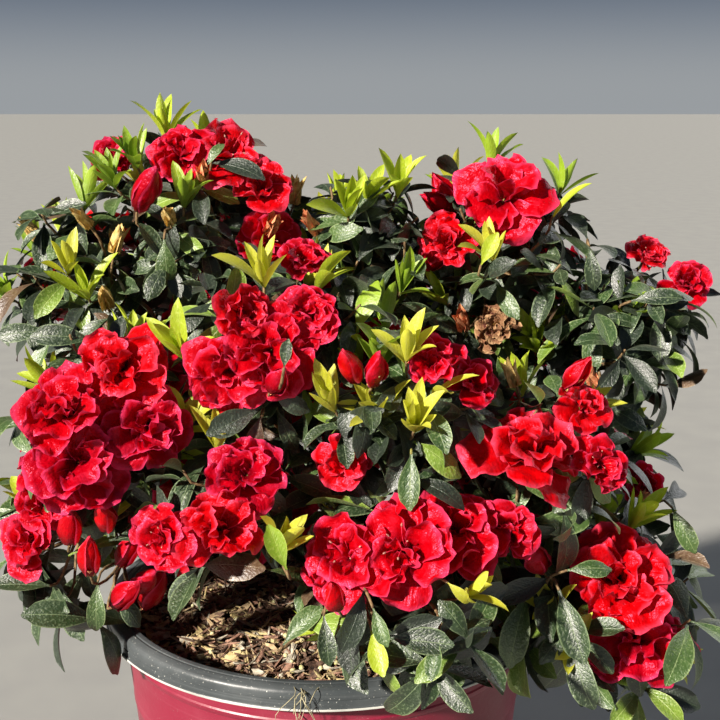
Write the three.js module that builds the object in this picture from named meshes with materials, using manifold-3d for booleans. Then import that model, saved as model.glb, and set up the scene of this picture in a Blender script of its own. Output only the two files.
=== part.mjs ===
// An azalea shrub in flower, in the round nursery pot that it was grown in.
// Millimetres, +Z up. The origin is the middle of the pot's flat underside, and the
// shrub's front, its fullest side of bloom, faces -Y.
//
// The plant is a short stem that forks into seven boughs. Each bough runs into a mass of
// foliage and bloom, and on the way it sends lesser limbs to the masses beside and below.
// The masses lie side by side as a shell round an open middle, as they do on a shrub that
// is leafy only where the light reaches.

import * as THREE from "three";
import { mergeVertices } from "three/addons/utils/BufferGeometryUtils.js";
import Module from "manifold-3d";

const wasm = await Module();
wasm.setup();

// Driving dimensions

const GAP = 0.4; // clearance between two pieces that touch on the real plant

const POT = {
  height: 240,
  rimRadius: 140,
  topRadius: 130,
  baseRadius: 108,
  wall: 1.8,
  base: 2.4,
  heel: 4,
  sides: 40,
};

const RIM = {
  height: 13,
  round: 3.5,
  arcSteps: 2,
  lip: 8, // how far the rim stands above the wall's top edge
};

const MIX = {
  surface: 221, // height of the bark mix at the wall
  mound: 4, // how much higher it is at the stem
  moundRadius: 24, // flat top of the mound
  slopeRadius: 65, // where the slope of the mound eases
  slopeRise: 2.4,
  sides: 32,
};

const STEM = {
  flareRadius: 17,
  neckRadius: 12,
  neckHeight: 7, // above the mix, where the root flare ends
  radius: 9.5,
  radiusHeight: 19, // above the mix, where the stem is thinnest
  headRadius: 12.5,
  headFrom: -20, // degrees, where the rounded head leaves the stem
  headTo: 70,
  headSteps: 4,
  top: 268,
  lean: [3, 4],
  sides: 8,
};

const BOUGH = { startRadius: 4.8, endRadius: 2.4, bow: 0.14, steps: 4 };
const LIMB = { startRadius: 2.8, endRadius: 1.8, bow: 0.1, steps: 3 };
const LIMB_SIDES = 5;
const SEAT = 8; // how far a limb's axis runs on past the face of its mass
const FIRST_FORK = 0.4; // where along a bough its lowest limb leaves it
const LAST_FORK = 0.7;

const MASS_DETAIL = 3; // three.js icosahedron detail, 320 faces
const LOBES = 15; // sprays that bulge from each mass
const LOBE_HALF_ANGLE = THREE.MathUtils.degToRad(36);
const LOBE_DEPTH = 0.25; // how deep the dips between sprays are, as a share of the radius
const LOBE_UNEVEN = 0.5; // how much lower than the highest spray the lowest one may be
const LOBE_RHYTHM = 7; // radians from spray to spray in the wave that sets their heights
const MASS_TURN = 1.7; // radians from mass to mass, so that no two bulge alike

// Each bough with its masses: the one that it runs into, then those that its limbs
// carry, the lowest limb first. A mass has its middle and its half sizes along X, Y, Z.
const BOUGHS = [
  {
    name: "left",
    masses: [
      { name: "left_crest", at: [-76, 10, 474], size: [74, 66, 74] },
      { name: "left_skirt", at: [-142, -46, 298], size: [62, 70, 58] },
      { name: "left_bloom", at: [-116, -88, 374], size: [64, 63, 59] },
      { name: "left_shoulder", at: [-138, 4, 434], size: [69, 69, 66] },
    ],
  },
  {
    name: "front",
    masses: [
      { name: "centre_bloom", at: [-30, -82, 420], size: [64, 64, 60] },
      { name: "front_left", at: [-50, -116, 338], size: [62, 60, 48] },
      { name: "front_right", at: [44, -126, 302], size: [68, 60, 58] },
      { name: "centre_mid", at: [42, -98, 388], size: [62, 60, 60] },
    ],
  },
  {
    name: "right",
    masses: [
      { name: "right_shoulder", at: [174, -4, 406], size: [67, 68, 66] },
      { name: "right_skirt", at: [164, -66, 264], size: [67, 67, 64] },
      { name: "right_side", at: [164, 42, 316], size: [62, 70, 64] },
      { name: "right_bloom", at: [110, -94, 354], size: [66, 64, 62] },
    ],
  },
  {
    name: "crest",
    masses: [
      { name: "right_crest", at: [106, 8, 457], size: [70, 70, 68] },
      { name: "centre_crest", at: [26, -2, 450], size: [66, 68, 66] },
    ],
  },
  {
    name: "back_left",
    masses: [
      { name: "back_left", at: [-88, 92, 406], size: [76, 74, 72] },
      { name: "back_left_skirt", at: [-128, 76, 306], size: [70, 72, 62] },
    ],
  },
  {
    name: "back",
    masses: [
      { name: "back_crest", at: [8, 100, 422], size: [76, 72, 74] },
      { name: "back_skirt", at: [-20, 138, 308], size: [72, 66, 62] },
    ],
  },
  {
    name: "back_right",
    masses: [
      { name: "back_right", at: [106, 94, 396], size: [76, 74, 72] },
      { name: "back_right_skirt", at: [94, 126, 298], size: [72, 68, 62] },
    ],
  },
];

// Finishes

const material = (color, roughness) =>
  new THREE.MeshStandardMaterial({ color, roughness, metalness: 0 });

const FINISH = {
  pot: material("#8e2a45", 0.45),
  rim: material("#26282a", 0.4),
  mix: material("#5b4333", 0.95),
  bark: material("#6f5844", 0.85),
  bloomMass: material("#b3162c", 0.7),
  leafMass: material("#3d5a34", 0.6),
};

// Masses of which flowers make up the greater part in view
const IN_BLOOM = new Set([
  "left_crest",
  "left_bloom",
  "front_left",
  "centre_bloom",
  "front_right",
  "right_bloom",
  "right_skirt",
]);

// Solids and booleans

const vector = (xyz) => new THREE.Vector3(...xyz);

function solidOf(geometry) {
  const bare = geometry.clone();
  bare.deleteAttribute("normal");
  bare.deleteAttribute("uv");
  const merged = mergeVertices(bare, 1e-3);
  return new wasm.Manifold(
    new wasm.Mesh({
      numProp: 3,
      vertProperties: merged.attributes.position.array,
      triVerts: new Uint32Array(merged.index.array),
    }),
  );
}

function geometryOf(solid) {
  const mesh = solid.getMesh();
  const places = new Float32Array(mesh.numVert * 3);
  for (let i = 0; i < mesh.numVert; i++) {
    const from = i * mesh.numProp;
    places.set(mesh.vertProperties.subarray(from, from + 3), i * 3);
  }
  return new THREE.BufferGeometry()
    .setAttribute("position", new THREE.BufferAttribute(places, 3))
    .setIndex(new THREE.BufferAttribute(mesh.triVerts, 1));
}

// What is left of a solid after a cut, without the slivers that the cut set free.
function largestBody(solid) {
  return solid.decompose().reduce((a, b) => (b.volume() > a.volume() ? b : a));
}

function cutAll(solid, cutters) {
  return largestBody(cutters.reduce((left, cutter) => left.subtract(cutter), solid));
}

// A lathe turns about its own Y; here the axis is brought upright.
function turned(profile, sides) {
  const points = profile.map(([radius, height]) => new THREE.Vector2(radius, height));
  return new THREE.LatheGeometry(points, sides).rotateX(Math.PI / 2);
}

function arc(x, z, radius, from, to, steps) {
  const points = [];
  for (let i = 0; i <= steps; i++) {
    const angle = THREE.MathUtils.degToRad(from + ((to - from) * i) / steps);
    points.push([x + radius * Math.cos(angle), z + radius * Math.sin(angle)]);
  }
  return points;
}

// The pot: a tapered wall with a flat base, its rolled rim and the bark mix inside

const wallTop = POT.height - RIM.lip;
const wallSlope = (POT.topRadius - POT.baseRadius) / wallTop;
const wallRadius = (z) => POT.baseRadius + wallSlope * z;

function potWall() {
  const inside = (z) => wallRadius(z) - POT.wall;
  return turned(
    [
      [0, 0],
      [POT.baseRadius - POT.heel, 0],
      [wallRadius(POT.heel), POT.heel],
      [POT.topRadius, wallTop],
      [inside(wallTop), wallTop],
      [inside(POT.heel + POT.base), POT.heel + POT.base],
      [POT.baseRadius - POT.heel - POT.wall, POT.base],
      [0, POT.base],
    ],
    POT.sides,
  );
}

function potRim() {
  const inner = POT.topRadius - POT.wall;
  const outer = POT.rimRadius;
  const foot = POT.height - RIM.height;
  const crown = POT.height - RIM.round;
  return turned(
    [
      [inner, wallTop + GAP],
      [POT.topRadius + GAP, wallTop + GAP],
      [POT.topRadius + GAP, foot],
      [outer, foot],
      ...arc(outer - RIM.round, crown, RIM.round, 0, 90, RIM.arcSteps),
      ...arc(inner + RIM.round, crown, RIM.round, 90, 180, RIM.arcSteps),
      [inner, wallTop + GAP],
    ],
    POT.sides,
  );
}

function pottingMix() {
  const clear = POT.wall + GAP;
  const low = POT.base + GAP;
  const shoulder = POT.heel + POT.base + GAP;
  return turned(
    [
      [0, low],
      [POT.baseRadius - POT.heel - clear, low],
      [wallRadius(shoulder) - clear, shoulder],
      [wallRadius(MIX.surface) - clear, MIX.surface],
      [MIX.slopeRadius, MIX.surface + MIX.slopeRise],
      [MIX.moundRadius, MIX.surface + MIX.mound],
      [0, MIX.surface + MIX.mound],
    ],
    MIX.sides,
  );
}

// The stem, from its flare on the mix to the head that the boughs leave from

const stemFoot = MIX.surface + MIX.mound + GAP;
const stemHead = new THREE.Vector3(...STEM.lean, STEM.top - STEM.headRadius);

function stem(grow = 0) {
  const head = stemHead.z - stemFoot;
  const { headFrom, headTo, headSteps } = STEM;
  const lathe = turned(
    [
      [0, 0],
      [STEM.flareRadius + grow, 0],
      [STEM.neckRadius + grow, STEM.neckHeight],
      [STEM.radius + grow, STEM.radiusHeight],
      ...arc(0, head, STEM.headRadius + grow, headFrom, headTo, headSteps),
      [0, head + STEM.headRadius + grow],
    ],
    STEM.sides,
  );
  const place = lathe.getAttribute("position");
  for (let i = 0; i < place.count; i++) {
    const share = Math.max(0, Math.min(1, place.getZ(i) / head));
    const x = place.getX(i) + STEM.lean[0] * share;
    const y = place.getY(i) + STEM.lean[1] * share;
    place.setXYZ(i, x, y, place.getZ(i) + stemFoot);
  }
  return lathe;
}

// A limb is a cylinder that tapers, laid along a curve that lifts as it goes out.

function limbCurve(start, end, bow) {
  const outward = new THREE.Vector3(end.x - start.x, end.y - start.y, 0);
  const sag = bow * outward.length();
  const middle = start.clone().lerp(end, 0.5).addScaledVector(outward, bow / 2);
  middle.z -= sag;
  return new THREE.QuadraticBezierCurve3(start, middle, end);
}

function limb(curve, size, grow = 0) {
  const length = curve.getLength();
  const startRadius = size.startRadius + grow;
  const endRadius = size.endRadius + grow;
  const { steps } = size;
  const rod = new THREE.CylinderGeometry(endRadius, startRadius, length, LIMB_SIDES, steps);
  const frames = curve.computeFrenetFrames(steps);
  const place = rod.getAttribute("position");
  for (let i = 0; i < place.count; i++) {
    const step = Math.round((place.getY(i) / length + 0.5) * steps);
    const point = curve.getPointAt(step / steps);
    point.addScaledVector(frames.normals[step], place.getX(i));
    point.addScaledVector(frames.binormals[step], -place.getZ(i));
    place.setXYZ(i, point.x, point.y, point.z);
  }
  return rod;
}

// A mass of foliage: an ellipsoid with a spray bulging in each of LOBES directions,
// kept on its own side of the flat faces where it meets its neighbours and the pot.

const masses = BOUGHS.flatMap((bough) => bough.masses);

for (const [index, mass] of masses.entries()) {
  mass.middle = vector(mass.at);
  mass.radius = (mass.size[0] + mass.size[1] + mass.size[2]) / 3;
  mass.turn = index * MASS_TURN;
}

// The directions that the sprays of a mass point in, each with its own height
function lobesOf(turn) {
  const golden = Math.PI * (3 - Math.sqrt(5));
  return Array.from({ length: LOBES }, (_, i) => {
    const z = 1 - (2 * i + 1) / LOBES;
    const ring = Math.sqrt(1 - z * z);
    const around = golden * i + turn;
    const uneven = 0.5 + 0.5 * Math.sin(LOBE_RHYTHM * i + turn);
    return {
      direction: new THREE.Vector3(ring * Math.cos(around), ring * Math.sin(around), z),
      height: 1 - LOBE_UNEVEN * uneven,
    };
  });
}

// The nearest point of the pot, taken as a drum as wide as its rim
function nearestOfPot(point) {
  const out = Math.hypot(point.x, point.y);
  const share = Math.min(1, POT.rimRadius / out);
  return new THREE.Vector3(
    point.x * share,
    point.y * share,
    Math.min(point.z, POT.height),
  );
}

// Each wall is a direction from the mass's middle and how far the mass may reach along it.
function wallsOf(mass) {
  const walls = [];
  for (const other of masses) {
    if (other === mass) continue;
    const between = other.middle.clone().sub(mass.middle);
    const apart = between.length();
    const reach = (apart ** 2 + mass.radius ** 2 - other.radius ** 2) / (2 * apart);
    walls.push({ direction: between.normalize(), reach: reach - GAP / 2 });
  }
  const toPot = nearestOfPot(mass.middle).sub(mass.middle);
  const reach = toPot.length() - 2 * GAP;
  walls.push({ direction: toPot.normalize(), reach });
  return walls;
}

// How far the mass's surface is from its middle along a direction
function reachOf(mass, direction) {
  const [x, y, z] = mass.size;
  const plain = 1 / Math.hypot(direction.x / x, direction.y / y, direction.z / z);
  const edge = Math.cos(LOBE_HALF_ANGLE);
  let bulge = 0;
  for (const lobe of mass.lobes) {
    const share = Math.max(0, (lobe.direction.dot(direction) - edge) / (1 - edge));
    bulge = Math.max(bulge, lobe.height * Math.sqrt(share));
  }
  let reach = plain * (1 - LOBE_DEPTH + LOBE_DEPTH * bulge);
  for (const wall of mass.walls) {
    const towards = wall.direction.dot(direction);
    if (towards > 0) reach = Math.min(reach, wall.reach / towards);
  }
  return reach;
}

for (const mass of masses) {
  mass.lobes = lobesOf(mass.turn);
  mass.walls = wallsOf(mass);
}

function massGeometry(mass, grow = 0) {
  const ball = new THREE.IcosahedronGeometry(1, MASS_DETAIL);
  const place = ball.getAttribute("position");
  const direction = new THREE.Vector3();
  for (let i = 0; i < place.count; i++) {
    direction.fromBufferAttribute(place, i).normalize();
    const point = direction.clone().multiplyScalar(reachOf(mass, direction) + grow);
    point.add(mass.middle);
    place.setXYZ(i, point.x, point.y, point.z);
  }
  return ball;
}

// The curve of a limb from its fork into its mass
function curveTo(mass, fork, bow) {
  const towards = fork.clone().sub(mass.middle).normalize();
  const seat = reachOf(mass, towards) - SEAT;
  return limbCurve(fork, mass.middle.clone().addScaledVector(towards, seat), bow);
}

// Assembly

const shrub = new THREE.Group();
const potted = new THREE.Group();
const wood = new THREE.Group();
const foliage = new THREE.Group();
shrub.add(potted, wood, foliage);

function add(group, name, geometry, finish) {
  const mesh = new THREE.Mesh(geometry, finish);
  mesh.name = name;
  group.add(mesh);
}

add(potted, "pot_wall", potWall(), FINISH.pot);
add(potted, "pot_rim", potRim(), FINISH.rim);
add(potted, "potting_mix", pottingMix(), FINISH.mix);
add(wood, "stem", stem(), FINISH.bark);

// What is placed later gives way to what is there, each cutter being that piece grown
// by the gap. A limb ends at the face of its own mass.
const cutters = [solidOf(stem(GAP))];

function addLimb(name, mass, curve, size) {
  const face = solidOf(massGeometry(mass, GAP));
  const cut = cutAll(solidOf(limb(curve, size)), [...cutters, face]);
  cutters.push(solidOf(limb(curve, size, GAP)).subtract(solidOf(massGeometry(mass))));
  add(wood, name, geometryOf(cut), FINISH.bark);
}

for (const bough of BOUGHS) {
  const [own, ...others] = bough.masses;
  bough.curve = curveTo(own, stemHead.clone(), BOUGH.bow);
  bough.others = others;
  addLimb(`bough_${bough.name}`, own, bough.curve, BOUGH);
}

for (const { curve, others } of BOUGHS) {
  for (const [i, mass] of others.entries()) {
    const share = FIRST_FORK + ((LAST_FORK - FIRST_FORK) * i) / others.length;
    addLimb(`limb_${mass.name}`, mass, curveTo(mass, curve.getPointAt(share), LIMB.bow), LIMB);
  }
}

for (const mass of masses) {
  const whole = solidOf(massGeometry(mass));
  const near = cutters.filter((cutter) => cutter.intersect(whole).volume() > 0);
  const finish = IN_BLOOM.has(mass.name) ? FINISH.bloomMass : FINISH.leafMass;
  add(foliage, `mass_${mass.name}`, geometryOf(cutAll(whole, near)), finish);
}

export default shrub;
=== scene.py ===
"""Looks of an azalea shrub in flower in its nursery pot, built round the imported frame.

The frame's solids give the pot, the stem, the boughs and the masses of foliage and bloom.
Here each mass becomes twigs that fork on from its own limb, and at the tips of the twigs
stand whorls of leaves, tufts of young leaves, buds and double flowers. The sizes in the
dataclasses are millimetres, and the meshes are metres, as the frame is.
"""

import logging
import math
from dataclasses import dataclass, field
from enum import Enum
from functools import cached_property, partial
from typing import Callable, Iterator, Sequence

import bmesh
import bpy
import numpy as np
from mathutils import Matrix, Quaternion, Vector, noise
from mathutils.bvhtree import BVHTree


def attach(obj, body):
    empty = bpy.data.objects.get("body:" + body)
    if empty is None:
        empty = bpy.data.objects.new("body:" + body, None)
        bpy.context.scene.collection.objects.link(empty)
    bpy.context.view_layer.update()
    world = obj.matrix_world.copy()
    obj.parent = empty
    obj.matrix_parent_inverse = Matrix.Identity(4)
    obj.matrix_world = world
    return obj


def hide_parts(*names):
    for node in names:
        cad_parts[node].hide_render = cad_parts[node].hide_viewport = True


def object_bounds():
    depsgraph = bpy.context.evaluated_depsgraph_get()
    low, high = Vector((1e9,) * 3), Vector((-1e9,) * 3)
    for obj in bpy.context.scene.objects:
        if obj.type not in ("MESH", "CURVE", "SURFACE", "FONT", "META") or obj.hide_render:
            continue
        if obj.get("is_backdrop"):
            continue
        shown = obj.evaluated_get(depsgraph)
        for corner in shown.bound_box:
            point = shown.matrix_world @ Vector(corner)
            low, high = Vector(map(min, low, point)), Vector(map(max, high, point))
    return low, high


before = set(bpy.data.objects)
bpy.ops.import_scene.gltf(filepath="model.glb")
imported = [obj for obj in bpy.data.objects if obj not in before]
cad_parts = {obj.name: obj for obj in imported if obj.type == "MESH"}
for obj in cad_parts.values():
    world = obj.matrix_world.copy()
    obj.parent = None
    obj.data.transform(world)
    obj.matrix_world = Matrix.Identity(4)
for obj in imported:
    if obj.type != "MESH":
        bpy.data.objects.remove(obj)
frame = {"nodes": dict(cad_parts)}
CAD_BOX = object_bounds()

log = logging.getLogger("azalea")

Piece = bpy.types.Object
Socket = bpy.types.NodeSocket
Chance = np.random.Generator

MM = 0.001
UP = Vector((0.0, 0.0, 1.0))
GOLDEN_TURN = math.radians(137.5)
SIDE_SHARE = 0.03  # how far foliage may stand past the frame's box, as a share of its side
SIDE_EXTRA = 10.0 * MM
SIDE_SPARE = 2.0 * MM  # kept free of that
EDGE = 1.0 * MM  # how far the tips of leaves stay from it

# The regions of the crown, each a piece of leaves that stands for its masses
REGIONS = {
    "left": ("left_crest", "left_skirt", "left_bloom", "left_shoulder"),
    "front": ("front_left", "centre_bloom", "front_right", "centre_mid"),
    "right": ("right_shoulder", "right_skirt", "right_side", "right_bloom"),
    "crest": ("right_crest", "centre_crest"),
    "back": ("back_left", "back_left_skirt", "back_crest", "back_skirt", "back_right",
             "back_right_skirt"),
}
REGION_OF = {mass: region for region, masses in REGIONS.items() for mass in masses}
FRONT_REGIONS = ("left", "front", "right")

# The mass that each bough itself runs into; the others have a limb of their own
BOUGH_OF = {
    "left_crest": "left", "centre_bloom": "front", "right_shoulder": "right",
    "right_crest": "crest", "back_left": "back_left", "back_crest": "back",
    "back_right": "back_right",
}


@dataclass(frozen=True)
class Spot:
    """A place in the 720-pixel frame, how wide what grows there looks, and how open it is."""

    across: float
    down: float
    size: float = 60.0
    opening: float = 1.0
    ahead: float = 0.0  # mm that it stands out towards the camera


@dataclass(frozen=True)
class LeafSight:
    """A leaf that stands out in the frame: its middle, its length there, and how it hangs."""

    across: float
    down: float
    length: float
    heading: float  # degrees from straight up, clockwise, that its tip points
    skin: int = 0
    young: bool = False
    ahead: float = 13.0


def spots(*rows: Sequence[float]) -> tuple[Spot, ...]:
    """The spots that rows of their values give."""
    return tuple(Spot(*row) for row in rows)


BLOOM_SPOTS = spots(
    (180, 150, 60), (232, 146, 84), (262, 186, 62, 0.8), (90, 138, 50, 0.75),
    (62, 400, 92), (112, 362, 88), (150, 424, 80), (76, 462, 92),
    (225, 378, 82), (272, 348, 88), (312, 312, 66, 0.8), (246, 470, 76),
    (160, 538, 66, 0.62), (214, 520, 80), (22, 543, 66, 0.5), (42, 502, 56, 0.45),
    (345, 550, 92), (398, 545, 96), (460, 522, 96), (532, 440, 104),
    (590, 402, 52, 0.7), (505, 532, 46, 0.7), (622, 572, 98), (640, 640, 98),
    (505, 184, 88), (446, 240, 52, 0.6), (652, 252, 36, 0.4), (688, 280, 40, 0.5),
    (430, 362, 60, 0.7), (474, 378, 55, 0.7), (602, 462, 40, 0.7), (642, 484, 42, 0.6),
    (340, 462, 50, 0.6), (270, 240, 58, 0.8), (306, 256, 48, 0.6), (246, 312, 46, 0.6),
)
BUD_SPOTS = spots(
    (143, 198, 50), (277, 382, 40), (352, 370, 44), (375, 372, 40), (575, 376, 40),
    (538, 562, 50, 1, 16), (106, 520, 42), (90, 562, 46), (126, 554, 42), (122, 598, 46),
    (143, 582, 40, 1, 4), (163, 605, 44), (335, 598, 40, 1, 8), (70, 532, 46),
)
SCALE_SPOTS = spots(
    (168, 214), (118, 235), (105, 295), (300, 187), (203, 172), (274, 222), (508, 368),
    (590, 372), (78, 214), (462, 318),
)
TUFT_SPOTS = spots(
    (165, 125), (110, 172), (132, 152), (185, 192), (85, 285), (370, 190), (455, 196),
    (552, 204), (180, 345), (185, 420), (285, 540), (405, 280), (415, 420), (490, 245),
    (440, 380), (535, 340), (350, 205), (68, 262), (440, 292),
    (408, 348, 44, 1, 9), (464, 350, 44, 1, 9), (482, 394, 44, 1, 9), (330, 396, 44, 1, 9),
)
WHORL_SPOTS = spots(
    (165, 262), (212, 155), (70, 335), (360, 305), (410, 478), (285, 430), (520, 636),
    (572, 628), (625, 350), (650, 292), (302, 622), (388, 634), (430, 660),
    (650, 700), (470, 640), (690, 620), (40, 210), (560, 265),
)
SPENT_SPOTS = spots((494, 326, 48))
LEAF_SIGHTS = tuple(
    LeafSight(*row)
    for row in (
        (286, 352, 34, 8, 0), (212, 154, 30, 25, 1), (410, 482, 62, 182, 1),
        (165, 264, 52, 180, 1), (516, 628, 76, 196, 1, False, 26),
        (572, 628, 80, 158, 0, False, 26), (434, 662, 48, 190, 1, False, 20),
        (300, 624, 58, 40, 1), (326, 640, 50, 175, 0), (590, 566, 48, 75, 1, False, 22),
        (361, 304, 62, 8, 1, True), (490, 247, 42, 25, 0, True), (276, 545, 56, 338, 1, True),
        (254, 436, 44, 200, 3), (378, 656, 54, 165, 0, True), (458, 592, 30, 130, 2, True),
        (285, 430, 46, 160, 0), (592, 268, 44, 170, 0), (380, 628, 44, 160, 1),
        (655, 296, 50, 75, 0), (706, 494, 50, 150, 1), (64, 334, 62, 285, 0),
        (150, 640, 46, 150, 0), (95, 606, 50, 190, 1),
    )
)
WISP_SPOT = Spot(304, 676)
MIX_WINDOW = spots((196, 578), (318, 676))  # where the photo looks through to the mix


def linear(code: str) -> tuple[float, float, float, float]:
    """Turns a colour into the linear numbers that a shader takes.

    Args:
        code: An sRGB colour as a hash sign and six hex digits.

    Returns:
        Linear red, green and blue, and an alpha of one.
    """
    shares = [int(code[at : at + 2], 16) / 255 for at in (1, 3, 5)]
    red, green, blue = (
        share / 12.92 if share <= 0.04045 else ((share + 0.055) / 1.055) ** 2.4
        for share in shares
    )
    return red, green, blue, 1.0


def add_node(
    tree: bpy.types.NodeTree, kind: str, inputs: dict | Sequence = (), output: int | str = 0,
    **settings: object,
) -> Socket:
    """Adds a shader node with its settings, values and links.

    Args:
        tree: The node tree.
        kind: The node's type, without the ShaderNode that all of them start with.
        inputs: Values, colour codes or sockets to link, in order or by input name or index.
        output: The name or index of the output to return.
        settings: The node's own properties.

    Returns:
        That output of the new node.
    """
    node = tree.nodes.new(f"ShaderNode{kind}")
    for name, value in settings.items():
        setattr(node, name, value)
    pairs = inputs.items() if isinstance(inputs, dict) else enumerate(inputs)
    for key, value in pairs:
        if isinstance(value, Socket):
            tree.links.new(value, node.inputs[key])
        else:
            node.inputs[key].default_value = linear(value) if isinstance(value, str) else value
    return node.outputs[output]


def alone() -> None:
    """Deselects everything, so that the next operator acts only on what it adds."""
    if bpy.context.mode != "OBJECT":
        bpy.ops.object.mode_set(mode="OBJECT")
    bpy.ops.object.select_all(action="DESELECT")


def pick(obj: Piece) -> None:
    """Makes one object the only selected and the active one.

    Args:
        obj: The object.
    """
    alone()
    obj.select_set(True)
    bpy.context.view_layer.objects.active = obj


def edit(obj: Piece) -> None:
    """Opens an object in edit mode, with all its vertices selected.

    Args:
        obj: The object.
    """
    pick(obj)
    bpy.ops.object.mode_set(mode="EDIT")
    bpy.ops.mesh.select_mode(type="VERT")
    bpy.ops.mesh.select_all(action="SELECT")


def choose(obj: Piece, test: Callable[[bmesh.types.BMVert], bool]) -> None:
    """Selects the vertices of the edited mesh that pass a test, and what lies between them.

    Args:
        obj: The object in edit mode.
        test: Says whether a vertex is chosen.
    """
    net = bmesh.from_edit_mesh(obj.data)
    for part in (*net.faces, *net.edges):
        part.select = False
    for vert in net.verts:
        vert.select = test(vert)
    net.select_flush_mode()
    bmesh.update_edit_mesh(obj.data)


def resize(x: float, y: float, z: float, centre: Sequence[float] = (0, 0, 0)) -> None:
    """Scales what is selected about a centre."""
    bpy.ops.transform.resize(value=(x, y, z), center_override=centre)


def turn_about(axis: str, degrees: float, centre: Sequence[float] = (0, 0, 0)) -> None:
    """Turns what is selected about an axis through a centre."""
    angle = math.radians(degrees)
    bpy.ops.transform.rotate(value=angle, orient_axis=axis, center_override=centre)


def new_grid(rows: int, columns: int, lift: float = 0.0) -> Piece:
    """Adds a grid of unit size that starts at the origin, and opens it in edit mode.

    Args:
        rows: Its steps along +X.
        columns: Its steps across.
        lift: How high it lies, in metres.

    Returns:
        The grid.
    """
    alone()
    bpy.ops.mesh.primitive_grid_add(x_subdivisions=rows, y_subdivisions=columns, size=1.0)
    grid = bpy.context.object
    edit(grid)
    bpy.ops.transform.translate(value=(0.5, 0.0, lift))
    return grid


def apply_modifier(obj: Piece, kind: str, **settings: object) -> None:
    """Adds a modifier and applies it.

    Args:
        obj: The object.
        kind: The modifier's type.
        settings: The modifier's own properties.
    """
    pick(obj)
    modifier = obj.modifiers.new(kind.title(), kind)
    for name, value in settings.items():
        setattr(modifier, name, value)
    bpy.ops.object.modifier_apply(modifier=modifier.name)


def roughen(obj: Piece, size: float, height: float, depth: int = 1, **settings: object) -> None:
    """Raises a surface into lumps and hollows.

    Args:
        obj: The object.
        size: How wide they are, in millimetres.
        height: How high they are, in millimetres.
        depth: How many finer sizes of them lie on each other.
        settings: The displacement's other properties.
    """
    texture = bpy.data.textures.new("lumps", "CLOUDS")
    texture.noise_scale = size * MM
    texture.noise_depth = depth
    settings |= dict(texture=texture, strength=height * MM, mid_level=0.5)
    apply_modifier(obj, "DISPLACE", **settings)


def crumple(obj: Piece, order: int, size: float, height: float, **settings: object) -> None:
    """Throws a petal into folds of its own.

    Args:
        obj: The petal.
        order: A number of its own, which picks its part of the folds' noise.
        size: How wide the folds are, in millimetres.
        height: How high they are, in millimetres.
        settings: The displacement's other properties.
    """
    obj.location = (0.37 * order, 0.23 * order, 0.11 * order)
    roughen(obj, size, height, texture_coords="GLOBAL", **settings)


def hand_in(piece: Piece, slot: str, *replaced: str) -> None:
    """Puts a finished piece on the part's one body, and reports it.

    Args:
        piece: The object, with its place in its mesh.
        slot: Not used.
        replaced: The frame's nodes that it stands for.
    """
    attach(piece, "root")
    if replaced:
        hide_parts(*replaced)
    triangles = sum(len(face.vertices) - 2 for face in piece.data.polygons)
    log.info("%s: %d triangles, replaces %d nodes", piece.name, triangles, len(replaced))


@dataclass(frozen=True)
class Lens:
    """The camera at the photograph's viewing angle, and where points fall in its frame."""

    place: tuple[float, float, float] = (22.0, -722.0, 552.0)
    pitch: float = 12.7  # degrees below level
    focal: float = 59.5
    sensor: float = 36.0
    frame: float = 720.0

    @property
    def eye(self) -> Vector:
        """The camera's place, in metres."""
        return Vector(self.place) * MM

    @property
    def reach(self) -> float:
        """The focal length in pixels of the frame."""
        return self.focal / self.sensor * self.frame

    def ray(self, spot: Spot) -> Vector:
        """Finds the way from the camera through a spot.

        Args:
            spot: A spot of the frame.

        Returns:
            The way, of length one.
        """
        right = (spot.across - self.frame / 2) / self.reach
        rise = -(spot.down - self.frame / 2) / self.reach
        tip = math.radians(self.pitch)
        ahead = math.cos(tip) + rise * math.sin(tip)
        up = -math.sin(tip) + rise * math.cos(tip)
        return Vector((right, ahead, up)).normalized()

    def spot(self, point: Vector) -> tuple[float, float, float]:
        """Finds where a point falls in the frame.

        Args:
            point: A point in metres.

        Returns:
            Pixels across and down, and the depth in metres.
        """
        way = point - self.eye
        tip = math.radians(self.pitch)
        depth = way.y * math.cos(tip) - way.z * math.sin(tip)
        rise = way.y * math.sin(tip) + way.z * math.cos(tip)
        half = self.frame / 2
        return half + self.reach * way.x / depth, half - self.reach * rise / depth, depth

    def set_up(self) -> None:
        """Adds the camera."""
        alone()
        turn = (math.radians(90 - self.pitch), 0.0, 0.0)
        bpy.ops.object.camera_add(location=self.eye, rotation=turn)
        camera = bpy.context.object
        camera.data.lens = self.focal
        camera.data.sensor_width = self.sensor
        bpy.context.scene.camera = camera


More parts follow.
